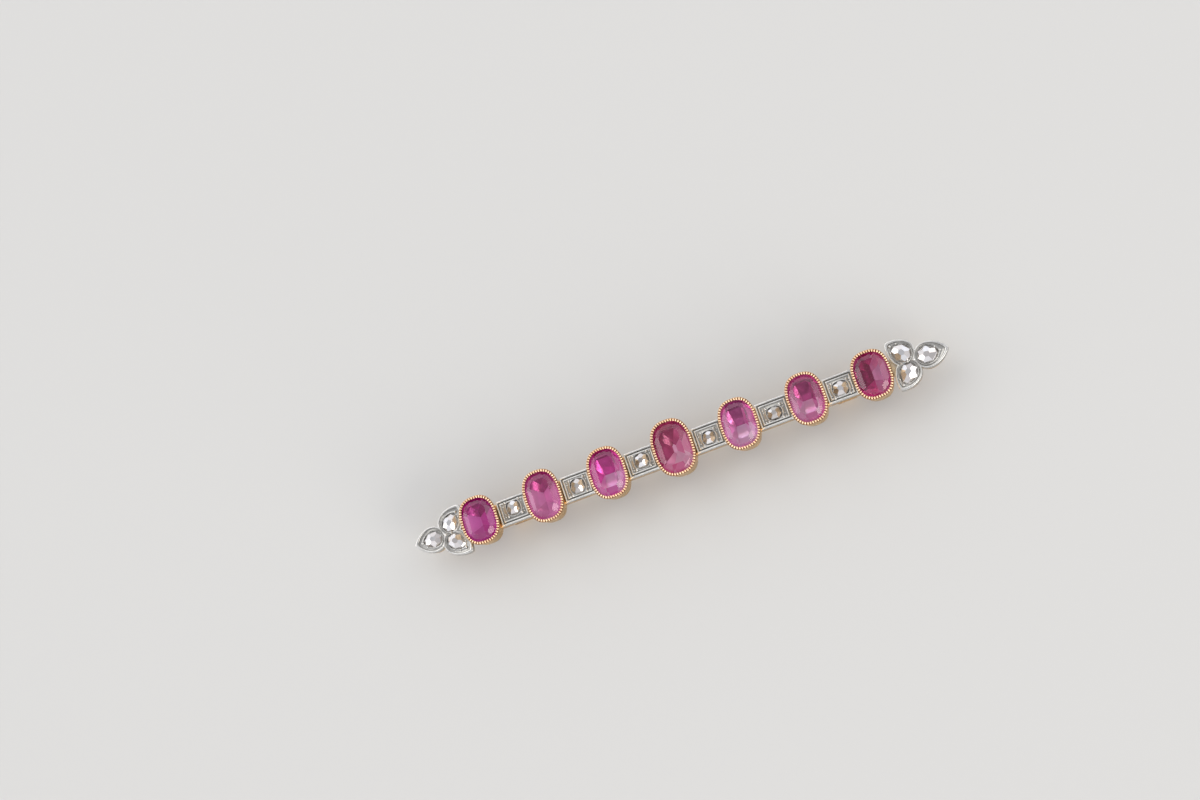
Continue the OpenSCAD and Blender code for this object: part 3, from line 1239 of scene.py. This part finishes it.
@dataclass
class RoseDiamond:
    """A rose-cut diamond with a flat back and a small table."""

    name: str
    node: str
    outline: Outline
    middle: Vector
    place: Matrix
    base: float
    finishes: list[bpy.types.Material]
    seed: int
    height: float = 0.72
    facets: tuple[FacetRing, ...] = (
        FacetRing(7, 8.0, Facet(0, 1, 0.2, 0.74, 0.66)),
        FacetRing(6, 20.0, Facet(0, 0.84, 0.52, 0.30, 1.0)),
    )
    # Painted reflection: each cut takes one of these at random, from dark to light.
    tones: tuple[float, ...] = (0.0, 0.3, 0.55, 0.75, 0.9, 1.0)
    turned_down: float = -0.5

    def build(self) -> bpy.types.Object:
        """Cuts the diamond and gives each facet a painted reflection, picked at random.

        Returns:
            The piece.
        """
        stone = Stone(self.outline, self.middle, 0.0, self.height)
        for ring in self.facets:
            for k in range(ring.count):
                stone.facet(ring.first + 360 * k / ring.count, ring.slope, 0.0, self.height)
        mesh = stone.finish()
        chance = random.Random(self.seed)
        tones = [chance.choice(self.tones) for _ in stone.ways]
        layer = mesh.faces.layers.float.new(PAINTED_LIGHT)
        for face in mesh.faces:
            face[layer] = tones[stone.cut_of(face)]
            face.material_index = int(face.normal.z < self.turned_down)
        bmesh.ops.translate(mesh, vec=(0, 0, self.base), verts=mesh.verts)
        bmesh.ops.transform(mesh, matrix=self.place, verts=mesh.verts)
        nodes = [self.node]
        return make_piece(self.name, mesh, self.finishes, nodes, sharp_from=0)


@dataclass
class BarPlate:
    """A white metal plate with a raised thread, a groove, a sunk field and a grain-set stone."""

    number: int
    low: Vector
    high: Vector
    stone: Cushion
    stone_shift: float
    metal: bpy.types.Material
    thread: float = 0.2
    groove: float = 0.14
    groove_depth: float = 0.2
    fillet: float = 0.16
    field_depth: float = 0.14
    seat_depth: float = 0.4
    gap: float = 0.03
    points: int = 48
    grain_radius: float = 0.17
    grain_rise: float = 0.05
    grain_shares: tuple[float, float] = (0.9, 1.1)
    grain_seed: int = 50
    grains: tuple[Grain, ...] = (
        Grain(1.1, 1.1, 1.0),
        Grain(2.9, 0.8, 0.6),
        Grain(2.8, -1.0, 0.5),
    )

    def border_steps(self) -> list[Step]:
        """Gives the section from the plate's base up its side and over the border.

        Returns:
            The steps in order, down to the sunk field.
        """
        top = LEVELS.plate_top
        edge = self.thread
        inner = edge + self.groove
        end = inner + self.fillet
        # The third value of each step is painted shade, darkest in the groove and the sunk field.
        return [
            Step(0.0, LEVELS.plate_base, 0.3),
            Step(0.0, top - 0.07, 0.15),
            Step(0.02, top - 0.02),
            Step(0.07, top),
            Step(edge - 0.05, top),
            Step(edge, top - 0.04, 0.3),
            Step(edge + 0.02, top - self.groove_depth, 1.0),
            Step(inner - 0.02, top - self.groove_depth, 1.0),
            Step(inner, top - 0.07, 0.4),
            Step(inner + 0.04, top - 0.03),
            Step(end - 0.04, top - 0.03),
            Step(end, top - 0.07, 0.5),
            Step(end + 0.02, top - self.field_depth, 0.8),
        ]

    def seat_steps(self) -> list[Step]:
        """Gives the section of the stone's thin rim and of its seat.

        Returns:
            The steps in order. A negative inset lies outside the stone.
        """
        sunk = LEVELS.plate_top - self.field_depth
        # The third value of each step is painted shade, darkest where the field meets the stone's rim
        # and down its seat.
        return [
            Step(-0.14, sunk, 0.8),
            Step(-0.10, sunk + 0.03, 0.2),
            Step(-0.06, sunk + 0.04),
            Step(-self.gap, sunk + 0.02, 0.3),
            Step(-self.gap, LEVELS.plate_top - self.seat_depth, 0.6),
        ]

    def build(self) -> bpy.types.Object:
        """Builds the plate with its grains.

        Returns:
            The piece.
        """
        plate = Oblong((self.high.x - self.low.x) / 2, (self.high.y - self.low.y) / 2)
        rings = plate.rings(self.border_steps(), self.points)
        shift = Vector((0, self.stone_shift, 0))
        for ring, painted_shade in self.stone.rings(self.seat_steps(), self.points):
            rings.append(([point + shift for point in ring], painted_shade))
        skin = Skin()
        skin.solid(rings)
        self.add_grains(skin)
        middle = (self.low + self.high) / 2
        skin.turn(Matrix.Translation((middle.x, 0, 0)))
        name = f"plate_{self.number}"
        nodes = [f"bar_plate_{self.number}"]
        return make_piece(name, skin.mesh, self.metal, nodes, SOFT_EDGE)

    def add_grains(self, skin: Skin) -> None:
        """Raises a large grain and two small ones in each corner of the stone.

        Args:
            skin: The plate round its own middle.
        """
        chance = random.Random(self.grain_seed + self.number)
        corner = 0.5 ** (1 / self.stone.squareness)
        level = LEVELS.plate_top - self.field_depth
        for x in (-1, 1):
            for y in (-1, 1):
                for grain in self.grains:
                    size = self.grain_radius * grain.share * chance.uniform(*self.grain_shares)
                    out_x = self.stone.half_x * corner + grain.along * self.grain_radius
                    out_y = self.stone.half_y * corner + grain.across * self.grain_radius
                    height = level + self.grain_rise * grain.share
                    spot = Vector((x * out_x, y * out_y, height))
                    spot.y += self.stone_shift
                    skin.bead(spot, Vector((size, size, size)), 0.0, *GRAIN_SIDES)


@dataclass
class Trefoil:
    """Three white metal leaves that meet at a point, each with a pear-shaped diamond."""

    side: Side
    tip_x: float
    outer_share: float
    stone_share: float
    wall_x: float
    metal: bpy.types.Material
    gold: bpy.types.Material
    diamond: list[bpy.types.Material]
    leaf_length: float = 3.6
    leaf_width: float = 2.86
    border: float = 0.26
    pocket: float = 0.2
    fold: float = 49.0
    stone_start: float = 0.4
    stone_length: float = 2.15
    stone_width: float = 1.75
    seat_depth: float = 0.4
    gap: float = 0.03
    points: int = 64
    grain_radius: float = 0.15
    grain_sunk: float = 0.1
    grains: tuple[Grain, ...] = (
        Grain(0.2, 0.0, 1.0),
        Grain(-0.22, 0.56, 0.7),
        Grain(-0.22, -0.56, 0.7),
    )
    junction_half: float = 1.0
    junction_overlap: float = 0.2
    junction_gap: float = 0.04
    junction_beads: tuple[tuple[float, float], ...] = ((0.0, 0.2), (-0.7, 0.17))
    junction_bead_half_height: float = 0.3
    junction_bead_sunk: float = 0.16
    junction_bead_sides: tuple[int, int] = (12, 8)
    first_seed: int = 20

    @property
    def meeting_x(self) -> float:
        """Returns where the leaves meet."""
        return self.tip_x - self.side.value * self.leaf_length * self.outer_share

    def lengths(self) -> list[float]:
        """Returns the lengths of the outer leaf and of the two folded ones."""
        return [self.leaf_length * self.outer_share, self.leaf_length, self.leaf_length]

    def matrix(self, leaf: int) -> Matrix:
        """Gives where one leaf lies.

        Args:
            leaf: 0 for the outer leaf, 1 and 2 for the folded ones.

        Returns:
            The leaf's place, with its own X along it.
        """
        outwards = 180.0 if self.side is Side.LEFT else 0.0
        turn = (0.0, 180.0 - self.fold, self.fold - 180.0)[leaf]
        rotation = Matrix.Rotation(math.radians(outwards + turn), 4, "Z")
        return Matrix.Translation((self.meeting_x, 0, 0)) @ rotation

    def stone(self) -> Leaf:
        """Gives the outline of a leaf's diamond.

        Returns:
            The outline, a short and full pear.
        """
        return Leaf(
            length=self.stone_length * self.stone_share,
            width=self.stone_width * self.stone_share,
            round_power=0.5,
            point_power=0.62,
            start=self.stone_start,
            tip_share=1.0,
        )

    def cut_root(self, skin: Skin, leaf: int) -> None:
        """Cuts a leaf where it meets its neighbours.

        Args:
            skin: The leaf, along X.
            leaf: 0 for the outer leaf, 1 and 2 for the folded ones.
        """
        to_outer = 90 - self.fold / 2
        limits = ((to_outer, to_outer), (self.fold, to_outer), (to_outer, self.fold))[leaf]
        for sign, limit in zip((1, -1), limits):
            turn = math.radians(sign * (limit + 90))
            skin.cut(Vector(), Vector((math.cos(turn), math.sin(turn), 0)))

    def border_steps(self) -> list[Step]:
        """Gives the section from the leaf's base up its side and over the border.

        Returns:
            The steps in order, down to the pocket.
        """
        top = LEVELS.plate_top
        edge = self.border
        # The third value of each step is painted shade, darkest in the groove inside the border.
        return [
            Step(0.0, LEVELS.leaf_base, 0.4),
            Step(0.0, top - 0.08, 0.2),
            Step(0.02, top - 0.02),
            Step(0.05, top),
            Step(edge - 0.12, top),
            Step(edge - 0.09, top - 0.03, 0.5),
            Step(edge - 0.07, top - 0.12, 1.0),
            Step(edge - 0.03, top - 0.13, 0.6),
            Step(edge + 0.04, top - self.pocket, 0.5),
        ]

    def seat_steps(self) -> list[Step]:
        """Gives the section of the stone's thin rim and of its seat.

        Returns:
            The steps in order. A negative inset lies outside the stone.
        """
        sunk = LEVELS.plate_top - self.pocket
        # The third value of each step is painted shade, darker down the stone's seat.
        return [
            Step(-0.12, sunk + 0.02, 0.4),
            Step(-0.08, sunk + 0.06),
            Step(-self.gap, sunk + 0.05, 0.2),
            Step(-self.gap, LEVELS.plate_top - self.seat_depth, 0.6),
        ]

    def build_leaf(self, leaf: int, length: float, nodes: Sequence[str]) -> None:
        """Builds one leaf with its border, its pocket, its stone's seat and its grains.

        Args:
            leaf: 0 for the outer leaf, 1 and 2 for the folded ones.
            length: The leaf's length.
            nodes: The solid that the trefoil stands for.
        """
        skin = Skin()
        stone = self.stone()
        border = Leaf(length, self.leaf_width).rings(self.border_steps(), self.points)
        skin.solid(border + stone.rings(self.seat_steps(), self.points))
        self.cut_root(skin, leaf)
        for grain in self.grains:
            x = stone.start + stone.length + grain.along
            spot = Vector((x, grain.across, LEVELS.plate_top - self.grain_sunk))
            size = Vector((1, 1, 1)) * self.grain_radius * grain.share
            skin.bead(spot, size, 0.0, *GRAIN_SIDES)
        skin.turn(self.matrix(leaf))
        name = f"{self.side.word}_leaf_{leaf + 1}"
        make_piece(name, skin.mesh, self.metal, nodes, SOFT_EDGE)

    def build(self) -> None:
        """Builds the leaves, their gold backs and their diamonds."""
        nodes = [f"trefoil_{self.side.word}"]
        for leaf, length in enumerate(self.lengths()):
            self.build_leaf(leaf, length, nodes)
            self.build_back(leaf, length)
            self.build_stone(leaf)
        self.build_junction(nodes)

    def build_junction(self, nodes: Sequence[str]) -> None:
        """Builds the metal between the leaves and the end collet, with its beads.

        Args:
            nodes: The solid that the trefoil stands for.
        """
        skin = Skin()
        way = self.side.value
        ends = sorted((self.wall_x, self.meeting_x + way * self.junction_overlap))
        top = LEVELS.plate_top - self.seat_depth - self.junction_gap
        low = Vector((ends[0], -self.junction_half, LEVELS.leaf_base))
        high = Vector((ends[1], self.junction_half, top))
        # Painted shade: the block between the leaves and the collet is darkened.
        skin.block(low, high, bevel=0.04, painted_shade=0.7)
        level = LEVELS.plate_top - self.junction_bead_sunk
        for outwards, radius in self.junction_beads:
            spot = Vector((self.meeting_x + way * outwards, 0.0, level))
            size = Vector((radius, radius, self.junction_bead_half_height))
            skin.bead(spot, size, 0.0, *self.junction_bead_sides)
        name = f"{self.side.word}_junction"
        make_piece(name, skin.mesh, self.metal, nodes, SOFT_EDGE)

    def build_back(self, leaf: int, length: float) -> None:
        """Builds the gold under one leaf.

        Args:
            leaf: 0 for the outer leaf, 1 and 2 for the folded ones.
            length: The leaf's length.
        """
        base = LEVELS.back_base
        # The third value of each step is painted shade, faint at the foot and the top.
        steps = [
            Step(0.14, base, 0.1),
            Step(0.08, base + 0.04),
            Step(0.06, base + 0.12),
            Step(0.06, LEVELS.back_top, 0.2),
        ]
        skin = Skin()
        skin.solid(Leaf(length, self.leaf_width).rings(steps, self.points))
        skin.turn(self.matrix(leaf))
        name = f"{self.side.word}_leaf_back_{leaf + 1}"
        make_piece(name, skin.mesh, self.gold, ["gold_frame"], SOFT_EDGE)

    def build_stone(self, leaf: int) -> None:
        """Builds one leaf's diamond.

        Args:
            leaf: 0 for the outer leaf, 1 and 2 for the folded ones.
        """
        outline = self.stone()
        middle = Vector((outline.start + outline.length * outline.widest, 0, 0))
        leaves = len(self.lengths())
        RoseDiamond(
            name=f"{self.side.word}_leaf_rose_{leaf + 1}",
            node=f"{self.side.word}_leaf_diamond_{leaf + 1}",
            outline=outline,
            middle=middle,
            place=self.matrix(leaf),
            base=LEVELS.plate_top - self.seat_depth + self.gap,
            finishes=self.diamond,
            seed=self.first_seed + leaves * self.side.value + leaf,
        ).build()


@dataclass
class GoldBar:
    """The gold bar between the collets, and the links to the trefoils."""

    spans: list[tuple[float, float]]
    links: list[tuple[float, float]]
    gold: bpy.types.Material
    width: float = 2.62
    link_width: float = 1.5
    link_height: float = 0.7
    bevel: float = 0.08

    def build(self) -> bpy.types.Object:
        """Builds the bar's sections and the links.

        Returns:
            The piece.
        """
        skin = Skin()
        # The bar's sections get faint painted shade and the links a little more.
        for start, end in self.spans:
            low = Vector((start, -self.width / 2, LEVELS.bar_base))
            high = Vector((end, self.width / 2, LEVELS.bar_top))
            skin.block(low, high, self.bevel, painted_shade=0.05)
        for start, end in self.links:
            low = Vector((start, -self.link_width / 2, LEVELS.bar_base))
            high = Vector((end, self.link_width / 2, LEVELS.bar_base + self.link_height))
            skin.block(low, high, self.bevel, painted_shade=0.1)
        return make_piece("gold_bar", skin.mesh, self.gold, ["gold_frame"])


@dataclass
class PinWork:
    """The pin with its hinge and its catch."""

    hinge_x: float
    catch_x: float
    gold: bpy.types.Material
    foot_width: float = 1.8
    foot_into_bar: float = 0.55
    ear_length: float = 2.4
    ear_bevel: float = 0.12
    eye_width: float = 0.8
    eye_radius: float = 0.86
    eye_chamfer: float = 0.08
    eye_sides: int = 48
    running_gap: float = 0.06
    rivet_radius: float = 0.35
    rivet_head: float = 0.1
    rivet_edge: float = 0.06
    rivet_end_share: float = 0.6
    rivet_shoulder_share: float = 0.95
    pin_radius: float = 0.4
    pin_sides: int = 32
    pin_into_eye: float = 0.3
    past_catch: float = 3.2
    point_length: float = 1.5
    point_steps: int = 12
    point_share: float = 0.96
    straight_end: float = 2.0
    catch_length: float = 2.2
    catch_steps: int = 20
    catch_bevel: float = 0.07
    channel_gap: float = 0.2
    mouth_gap: float = 0.1
    # Painted shade laid evenly over the hinge, the rivet, the eye and the catch.
    wear: float = 0.1

    @property
    def foot_top(self) -> float:
        """Returns the height at which the feet end inside the bar."""
        return LEVELS.bar_base + self.foot_into_bar

    def build(self) -> None:
        """Builds the hinge, the catch and the pin."""
        self.build_hinge()
        self.build_catch()
        self.build_pin()

    def rivet_ring(self, y: float, radius: float, sides: int) -> Ring:
        """Gives a ring round the rivet's axis.

        Args:
            y: Its place along the axis.
            radius: Its radius.
            sides: Number of points.

        Returns:
            The points in order.
        """
        turns = [2 * math.pi * k / sides for k in range(sides)]
        x, z = self.hinge_x, LEVELS.pin_axis
        return [Vector((x + radius * math.cos(t), y, z + radius * math.sin(t))) for t in turns]

    def build_hinge(self) -> None:
        """Builds the two ears and the rivet."""
        skin = Skin()
        foot = self.foot_width / 2
        inside = self.eye_width / 2 + self.running_gap
        for low_y, high_y in ((-foot, -inside), (inside, foot)):
            low = Vector((self.hinge_x - self.ear_length / 2, low_y, 0.0))
            high = Vector((self.hinge_x + self.ear_length / 2, high_y, self.foot_top))
            skin.block(low, high, self.ear_bevel, self.wear)
        end = foot + self.rivet_head
        shoulder = end - self.rivet_edge
        at_end = self.rivet_radius * self.rivet_end_share
        at_shoulder = self.rivet_radius * self.rivet_shoulder_share
        profile = (
            (-end, at_end),
            (-shoulder, at_shoulder),
            (shoulder, at_shoulder),
            (end, at_end),
        )
        skin.solid([(self.rivet_ring(y, radius, self.pin_sides), self.wear) for y, radius in profile])
        make_piece("pin_hinge", skin.mesh, self.gold, ["gold_frame"])

    def catch_outline(self) -> Ring:
        """Gives the catch's section across the bar.

        Returns:
            Points in Y and Z, in order.
        """
        half = self.foot_width / 2
        axis = LEVELS.pin_axis
        radius = self.pin_radius + self.channel_gap
        mouth_top = axis + radius
        mouth_base = mouth_top - 2 * self.pin_radius - self.mouth_gap
        first = math.pi / 2
        last = -math.pi - math.asin((mouth_base - axis) / radius)
        arc = []
        for k in range(self.catch_steps + 1):
            turn = first + (last - first) * k / self.catch_steps
            arc.append(Vector((0, radius * math.cos(turn), axis + radius * math.sin(turn))))
        return [
            Vector((0, -half, mouth_top)),
            *arc,
            Vector((0, -half, mouth_base)),
            Vector((0, -half, 0)),
            Vector((0, half, 0)),
            Vector((0, half, self.foot_top)),
            Vector((0, -half, self.foot_top)),
        ]

    def build_catch(self) -> None:
        """Builds the catch with its channel."""
        skin = Skin()
        half = self.catch_length / 2
        outline = self.catch_outline()
        rings = []
        for x in (-half, half):
            ring = [point + Vector((self.catch_x + x, 0, 0)) for point in outline]
            rings.append((ring, self.wear))
        skin.solid(rings)
        bmesh.ops.recalc_face_normals(skin.mesh, faces=skin.mesh.faces)
        edges = [e for e in skin.mesh.edges if e.calc_face_angle(0.0) > math.radians(SOFT_EDGE)]
        round_edges(skin.mesh, edges, self.catch_bevel, ROUND_STEPS)
        make_piece("pin_catch", skin.mesh, self.gold, ["gold_frame"])

    def pin_profile(self) -> list[tuple[float, float]]:
        """Gives the wire's profile, rounded towards its point.

        Returns:
            Places along X, each with its share of the wire's radius.
        """
        start = self.hinge_x + self.eye_radius - self.pin_into_eye
        tip = self.catch_x + self.catch_length / 2 + self.past_catch
        shoulder = tip - self.point_length
        profile = [(start, 1.0), (shoulder - self.straight_end, 1.0)]
        for k in range(1, self.point_steps + 1):
            share = k / self.point_steps
            x = shoulder + self.point_length * share
            profile.append((x, math.sqrt(1 - self.point_share * share)))
        return profile

    def build_pin(self) -> None:
        """Builds the eye, the wire and its point."""
        skin = Skin()
        self.add_eye(skin)
        axis = LEVELS.pin_axis
        turns = [2 * math.pi * k / self.pin_sides for k in range(self.pin_sides)]
        rings = []
        for x, share in self.pin_profile():
            radius = self.pin_radius * share
            ring = [
                Vector((x, radius * math.cos(t), axis + radius * math.sin(t))) for t in turns
            ]
            rings.append((ring, 0.0))
        skin.solid(rings)
        make_piece("pin_wire", skin.mesh, self.gold, ["pin_stem"])

    def add_eye(self, skin: Skin) -> None:
        """Adds the eye that turns on the rivet.

        Args:
            skin: The pin's mesh.
        """
        inner = self.rivet_radius + self.running_gap
        outer = self.eye_radius
        half = self.eye_width / 2
        edge = self.eye_chamfer
        section = [
            (inner, -half),
            (outer - edge, -half),
            (outer, -half + edge),
            (outer, half - edge),
            (outer - edge, half),
            (inner, half),
            (inner, -half),
        ]
        skin.sweep([(self.rivet_ring(y, radius, self.eye_sides), self.wear) for radius, y in section])
        skin.weld()


@dataclass(frozen=True)
class PlateStone:
    """A plate's diamond: its shares of the usual size, and its shift as a share of the width."""

    long_share: float
    wide_share: float
    shift: float


@dataclass(frozen=True)
class End:
    """One end of the bar: its side, its ruby, and how large its outer leaf and its stones are."""

    side: Side
    ruby: int
    outer_share: float
    stone_share: float


@dataclass
class Brooch:
    """The whole brooch, placed by the solids of the frame."""

    rubies: int = 7
    girdle_inset: float = 0.1
    plate_stone: float = 1.62
    plate_stones: tuple[PlateStone, ...] = (
        PlateStone(0.95, 1.00, 0.07),
        PlateStone(1.02, 1.06, -0.03),
        PlateStone(1.02, 1.02, 0.03),
        PlateStone(0.94, 0.94, -0.05),
        PlateStone(1.04, 0.90, -0.05),
        PlateStone(1.12, 1.02, -0.06),
    )
    plate_stone_sunk: float = 0.37
    plate_width: float = 2.86
    ends: tuple[End, ...] = (End(Side.LEFT, 0, 1.0, 1.0), End(Side.RIGHT, -1, 1.08, 1.1))
    sunk: float = 0.29
    wall_out: float = 0.08
    link_past: float = 0.8
    trefoils: list[Trefoil] = field(default_factory=list)
    middles: list[Vector] = field(default_factory=list)
    outlines: list[Cushion] = field(default_factory=list)

    def measure(self) -> None:
        """Reads where the rubies lie and how large their bead lines are."""
        for number in range(1, self.rubies + 1):
            low, high = self.box(f"ruby_{number}")
            middle = (low + high) / 2
            self.middles.append(Vector((middle.x, middle.y, 0)))
            size = (high - low) / 2
            self.outlines.append(Cushion(size.x + self.girdle_inset, size.y + self.girdle_inset))

    def box(self, node: str) -> tuple[Vector, Vector]:
        """Returns a solid's lowest and highest corner in millimetres."""
        low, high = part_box(node)
        return low / MM, high / MM

    def build(self) -> None:
        """Builds all pieces in order."""
        self.measure()
        gold = GoldFinish().make()
        metal = WhiteMetalFinish().make()
        diamond = DiamondFinish().make()
        self.build_rubies(gold)
        self.place_ends(gold, metal, diamond)
        self.build_bar(gold)
        self.build_plates(metal, diamond)
        for trefoil in self.trefoils:
            trefoil.build()

    def build_rubies(self, gold: bpy.types.Material) -> None:
        """Builds the collets and the rubies in them.

        Args:
            gold: The collets' finish.
        """
        for k, (middle, outline) in enumerate(zip(self.middles, self.outlines)):
            RubyCollet(k + 1, middle, outline, gold).build()
            shape = Cushion(outline.half_x - self.girdle_inset, outline.half_y - self.girdle_inset)
            Ruby(k + 1, middle, shape, RUBIES[k]).build()

    def build_bar(self, gold: bpy.types.Material) -> None:
        """Builds the bar, its links, the hinge, the catch and the pin.

        Args:
            gold: Their finish.
        """
        edges = []
        for middle, outline in zip(self.middles, self.outlines):
            reach = outline.half_x - self.sunk
            edges.append((middle.x - reach, middle.x + reach))
        spans = [(before[1], after[0]) for before, after in zip(edges, edges[1:])]
        left, right = self.trefoils
        links = [
            (left.meeting_x - self.link_past, edges[0][0]),
            (edges[-1][1], right.meeting_x + self.link_past),
        ]
        GoldBar(spans, links, gold).build()
        hinge_x = (self.middles[0].x + self.middles[1].x) / 2
        catch_x = (self.middles[-2].x + self.middles[-1].x) / 2
        PinWork(hinge_x, catch_x, gold).build()

    def build_plates(
        self, metal: bpy.types.Material, diamond: list[bpy.types.Material]
    ) -> None:
        """Builds the bar plates with their diamonds.

        Args:
            metal: The plates' finish.
            diamond: The finishes of the diamonds' tops and backs.
        """
        for k, row in enumerate(self.plate_stones):
            low, high = self.box(f"bar_plate_{k + 1}")
            half = self.plate_stone / 2
            stone = Cushion(half * row.long_share, half * row.wide_share)
            across = row.shift * self.plate_width
            BarPlate(k + 1, low, high, stone, across, metal).build()
            middle = (low + high) / 2
            RoseDiamond(
                name=f"plate_rose_{k + 1}",
                node=f"plate_diamond_{k + 1}",
                outline=stone,
                middle=Vector(),
                place=Matrix.Translation((middle.x, across, 0)),
                base=LEVELS.plate_top - self.plate_stone_sunk,
                finishes=diamond,
                seed=k,
            ).build()

    def place_ends(
        self,
        gold: bpy.types.Material,
        metal: bpy.types.Material,
        diamond: list[bpy.types.Material],
    ) -> None:
        """Places the trefoils at both ends.

        Args:
            gold: The finish of their backs.
            metal: The finish of their leaves.
            diamond: The finishes of the diamonds' tops and backs.
        """
        for end in self.ends:
            low, high = self.box(f"trefoil_{end.side.word}")
            half = self.outlines[end.ruby].half_x + self.wall_out
            self.trefoils.append(
                Trefoil(
                    side=end.side,
                    tip_x=low.x if end.side is Side.LEFT else high.x,
                    outer_share=end.outer_share,
                    stone_share=end.stone_share,
                    wall_x=self.middles[end.ruby].x + end.side.value * half,
                    metal=metal,
                    gold=gold,
                    diamond=diamond,
                )
            )


@dataclass(frozen=True)
class Lamp:
    """A soft square lamp: its place and the length of its side in metres, its watts and colour."""

    name: str
    place: Vector
    size: float
    power: float
    tint: Colour

    def hang(self) -> None:
        """Hangs the lamp so that it points at the brooch."""
        light = bpy.data.lights.new(self.name, "AREA")
        light.shape = "SQUARE"
        light.size = self.size
        light.energy = self.power
        light.color = self.tint
        holder = bpy.data.objects.new(self.name, light)
        holder.location = self.place
        holder.rotation_mode = "QUATERNION"
        holder.rotation_quaternion = (-self.place).to_track_quat("-Z", "Y")
        bpy.context.scene.collection.objects.link(holder)


@dataclass(frozen=True)
class Sky:
    """Soft light from all round, which is paler low down."""

    low: float = 1.38
    high: float = 0.6
    low_until: float = 0.3
    tint: Colour = (0.93, 0.94, 1.0)

    def make(self) -> bpy.types.World:
        """Makes the sky.

        Returns:
            The world.
        """
        world = bpy.data.worlds.new("sky")
        world.use_nodes = True
        nodes = world.node_tree.nodes
        links = world.node_tree.links
        light = nodes["Background"]
        light.inputs["Color"].default_value = (*self.tint, 1.0)
        place = nodes.new("ShaderNodeTexCoord")
        parts = nodes.new("ShaderNodeSeparateXYZ")
        strength = nodes.new("ShaderNodeMapRange")
        strength.inputs["From Min"].default_value = self.low_until
        strength.inputs["From Max"].default_value = 1.0
        strength.inputs["To Min"].default_value = self.low
        strength.inputs["To Max"].default_value = self.high
        links.new(place.outputs["Generated"], parts.inputs["Vector"])
        links.new(parts.outputs["Z"], strength.inputs["Value"])
        links.new(strength.outputs["Result"], light.inputs["Strength"])
        return world


@dataclass(frozen=True)
class Studio:
    """The floor, the light and the camera."""

    floor_half: float = 2.0
    lamps: tuple[Lamp, ...] = (
        Lamp("window", Vector((-0.9, 1.5, 1.9)), 2.0, 16.0, (1.0, 0.985, 0.96)),
        Lamp("left", Vector((-1.3, 0.25, 0.5)), 0.8, 3.0, (1.0, 0.98, 0.96)),
        Lamp("front", Vector((0.9, -1.2, 0.55)), 1.0, 14.0, (1.0, 0.95, 0.88)),
        Lamp("right", Vector((1.2, 0.35, 0.8)), 0.8, 2.0, (1.0, 0.97, 0.93)),
    )
    focal_length: float = 81.0
    sensor: float = 36.0
    nearest: float = 0.01
    farthest: float = 10.0
    camera_place: Vector = Vector((38.33, -61.04, 286.52))
    camera_right: Vector = Vector((0.924054, -0.311052, -0.222195))
    camera_up: Vector = Vector((0.350813, 0.920938, 0.169717))
    camera_back: Vector = Vector((0.151837, -0.234776, 0.960117))

    def build(self) -> None:
        """Builds the floor, the lights and the camera."""
        self.build_floor()
        self.build_light()
        self.build_camera()

    def build_floor(self) -> None:
        """Lays a wide plain floor under the brooch."""
        mesh = bmesh.new()
        bmesh.ops.create_grid(mesh, x_segments=8, y_segments=8, size=self.floor_half)
        data = bpy.data.meshes.new("floor")
        mesh.to_mesh(data)
        mesh.free()
        data.materials.append(FloorFinish().make())
        floor = bpy.data.objects.new("floor", data)
        bpy.context.scene.collection.objects.link(floor)

    def build_light(self) -> None:
        """Sets the sky and hangs the lamps."""
        bpy.context.scene.world = Sky().make()
        bpy.context.scene.view_settings.view_transform = "Standard"
        for lamp in self.lamps:
            lamp.hang()

    def build_camera(self) -> None:
        """Places the camera at the picture's angle."""
        lens = bpy.data.cameras.new("camera")
        lens.lens = self.focal_length
        lens.sensor_width = self.sensor
        lens.clip_start = self.nearest
        lens.clip_end = self.farthest
        camera = bpy.data.objects.new("camera", lens)
        turn = Matrix((self.camera_right, self.camera_up, self.camera_back)).transposed()
        camera.matrix_world = Matrix.Translation(self.camera_place * MM) @ turn.to_4x4()
        bpy.context.scene.collection.objects.link(camera)
        bpy.context.scene.camera = camera


def main() -> None:
    """Builds the brooch and its studio."""
    logging.basicConfig(level=logging.INFO, format="%(name)s %(message)s")
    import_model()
    Brooch().build()
    Studio().build()


if __name__ == "__main__":
    main()
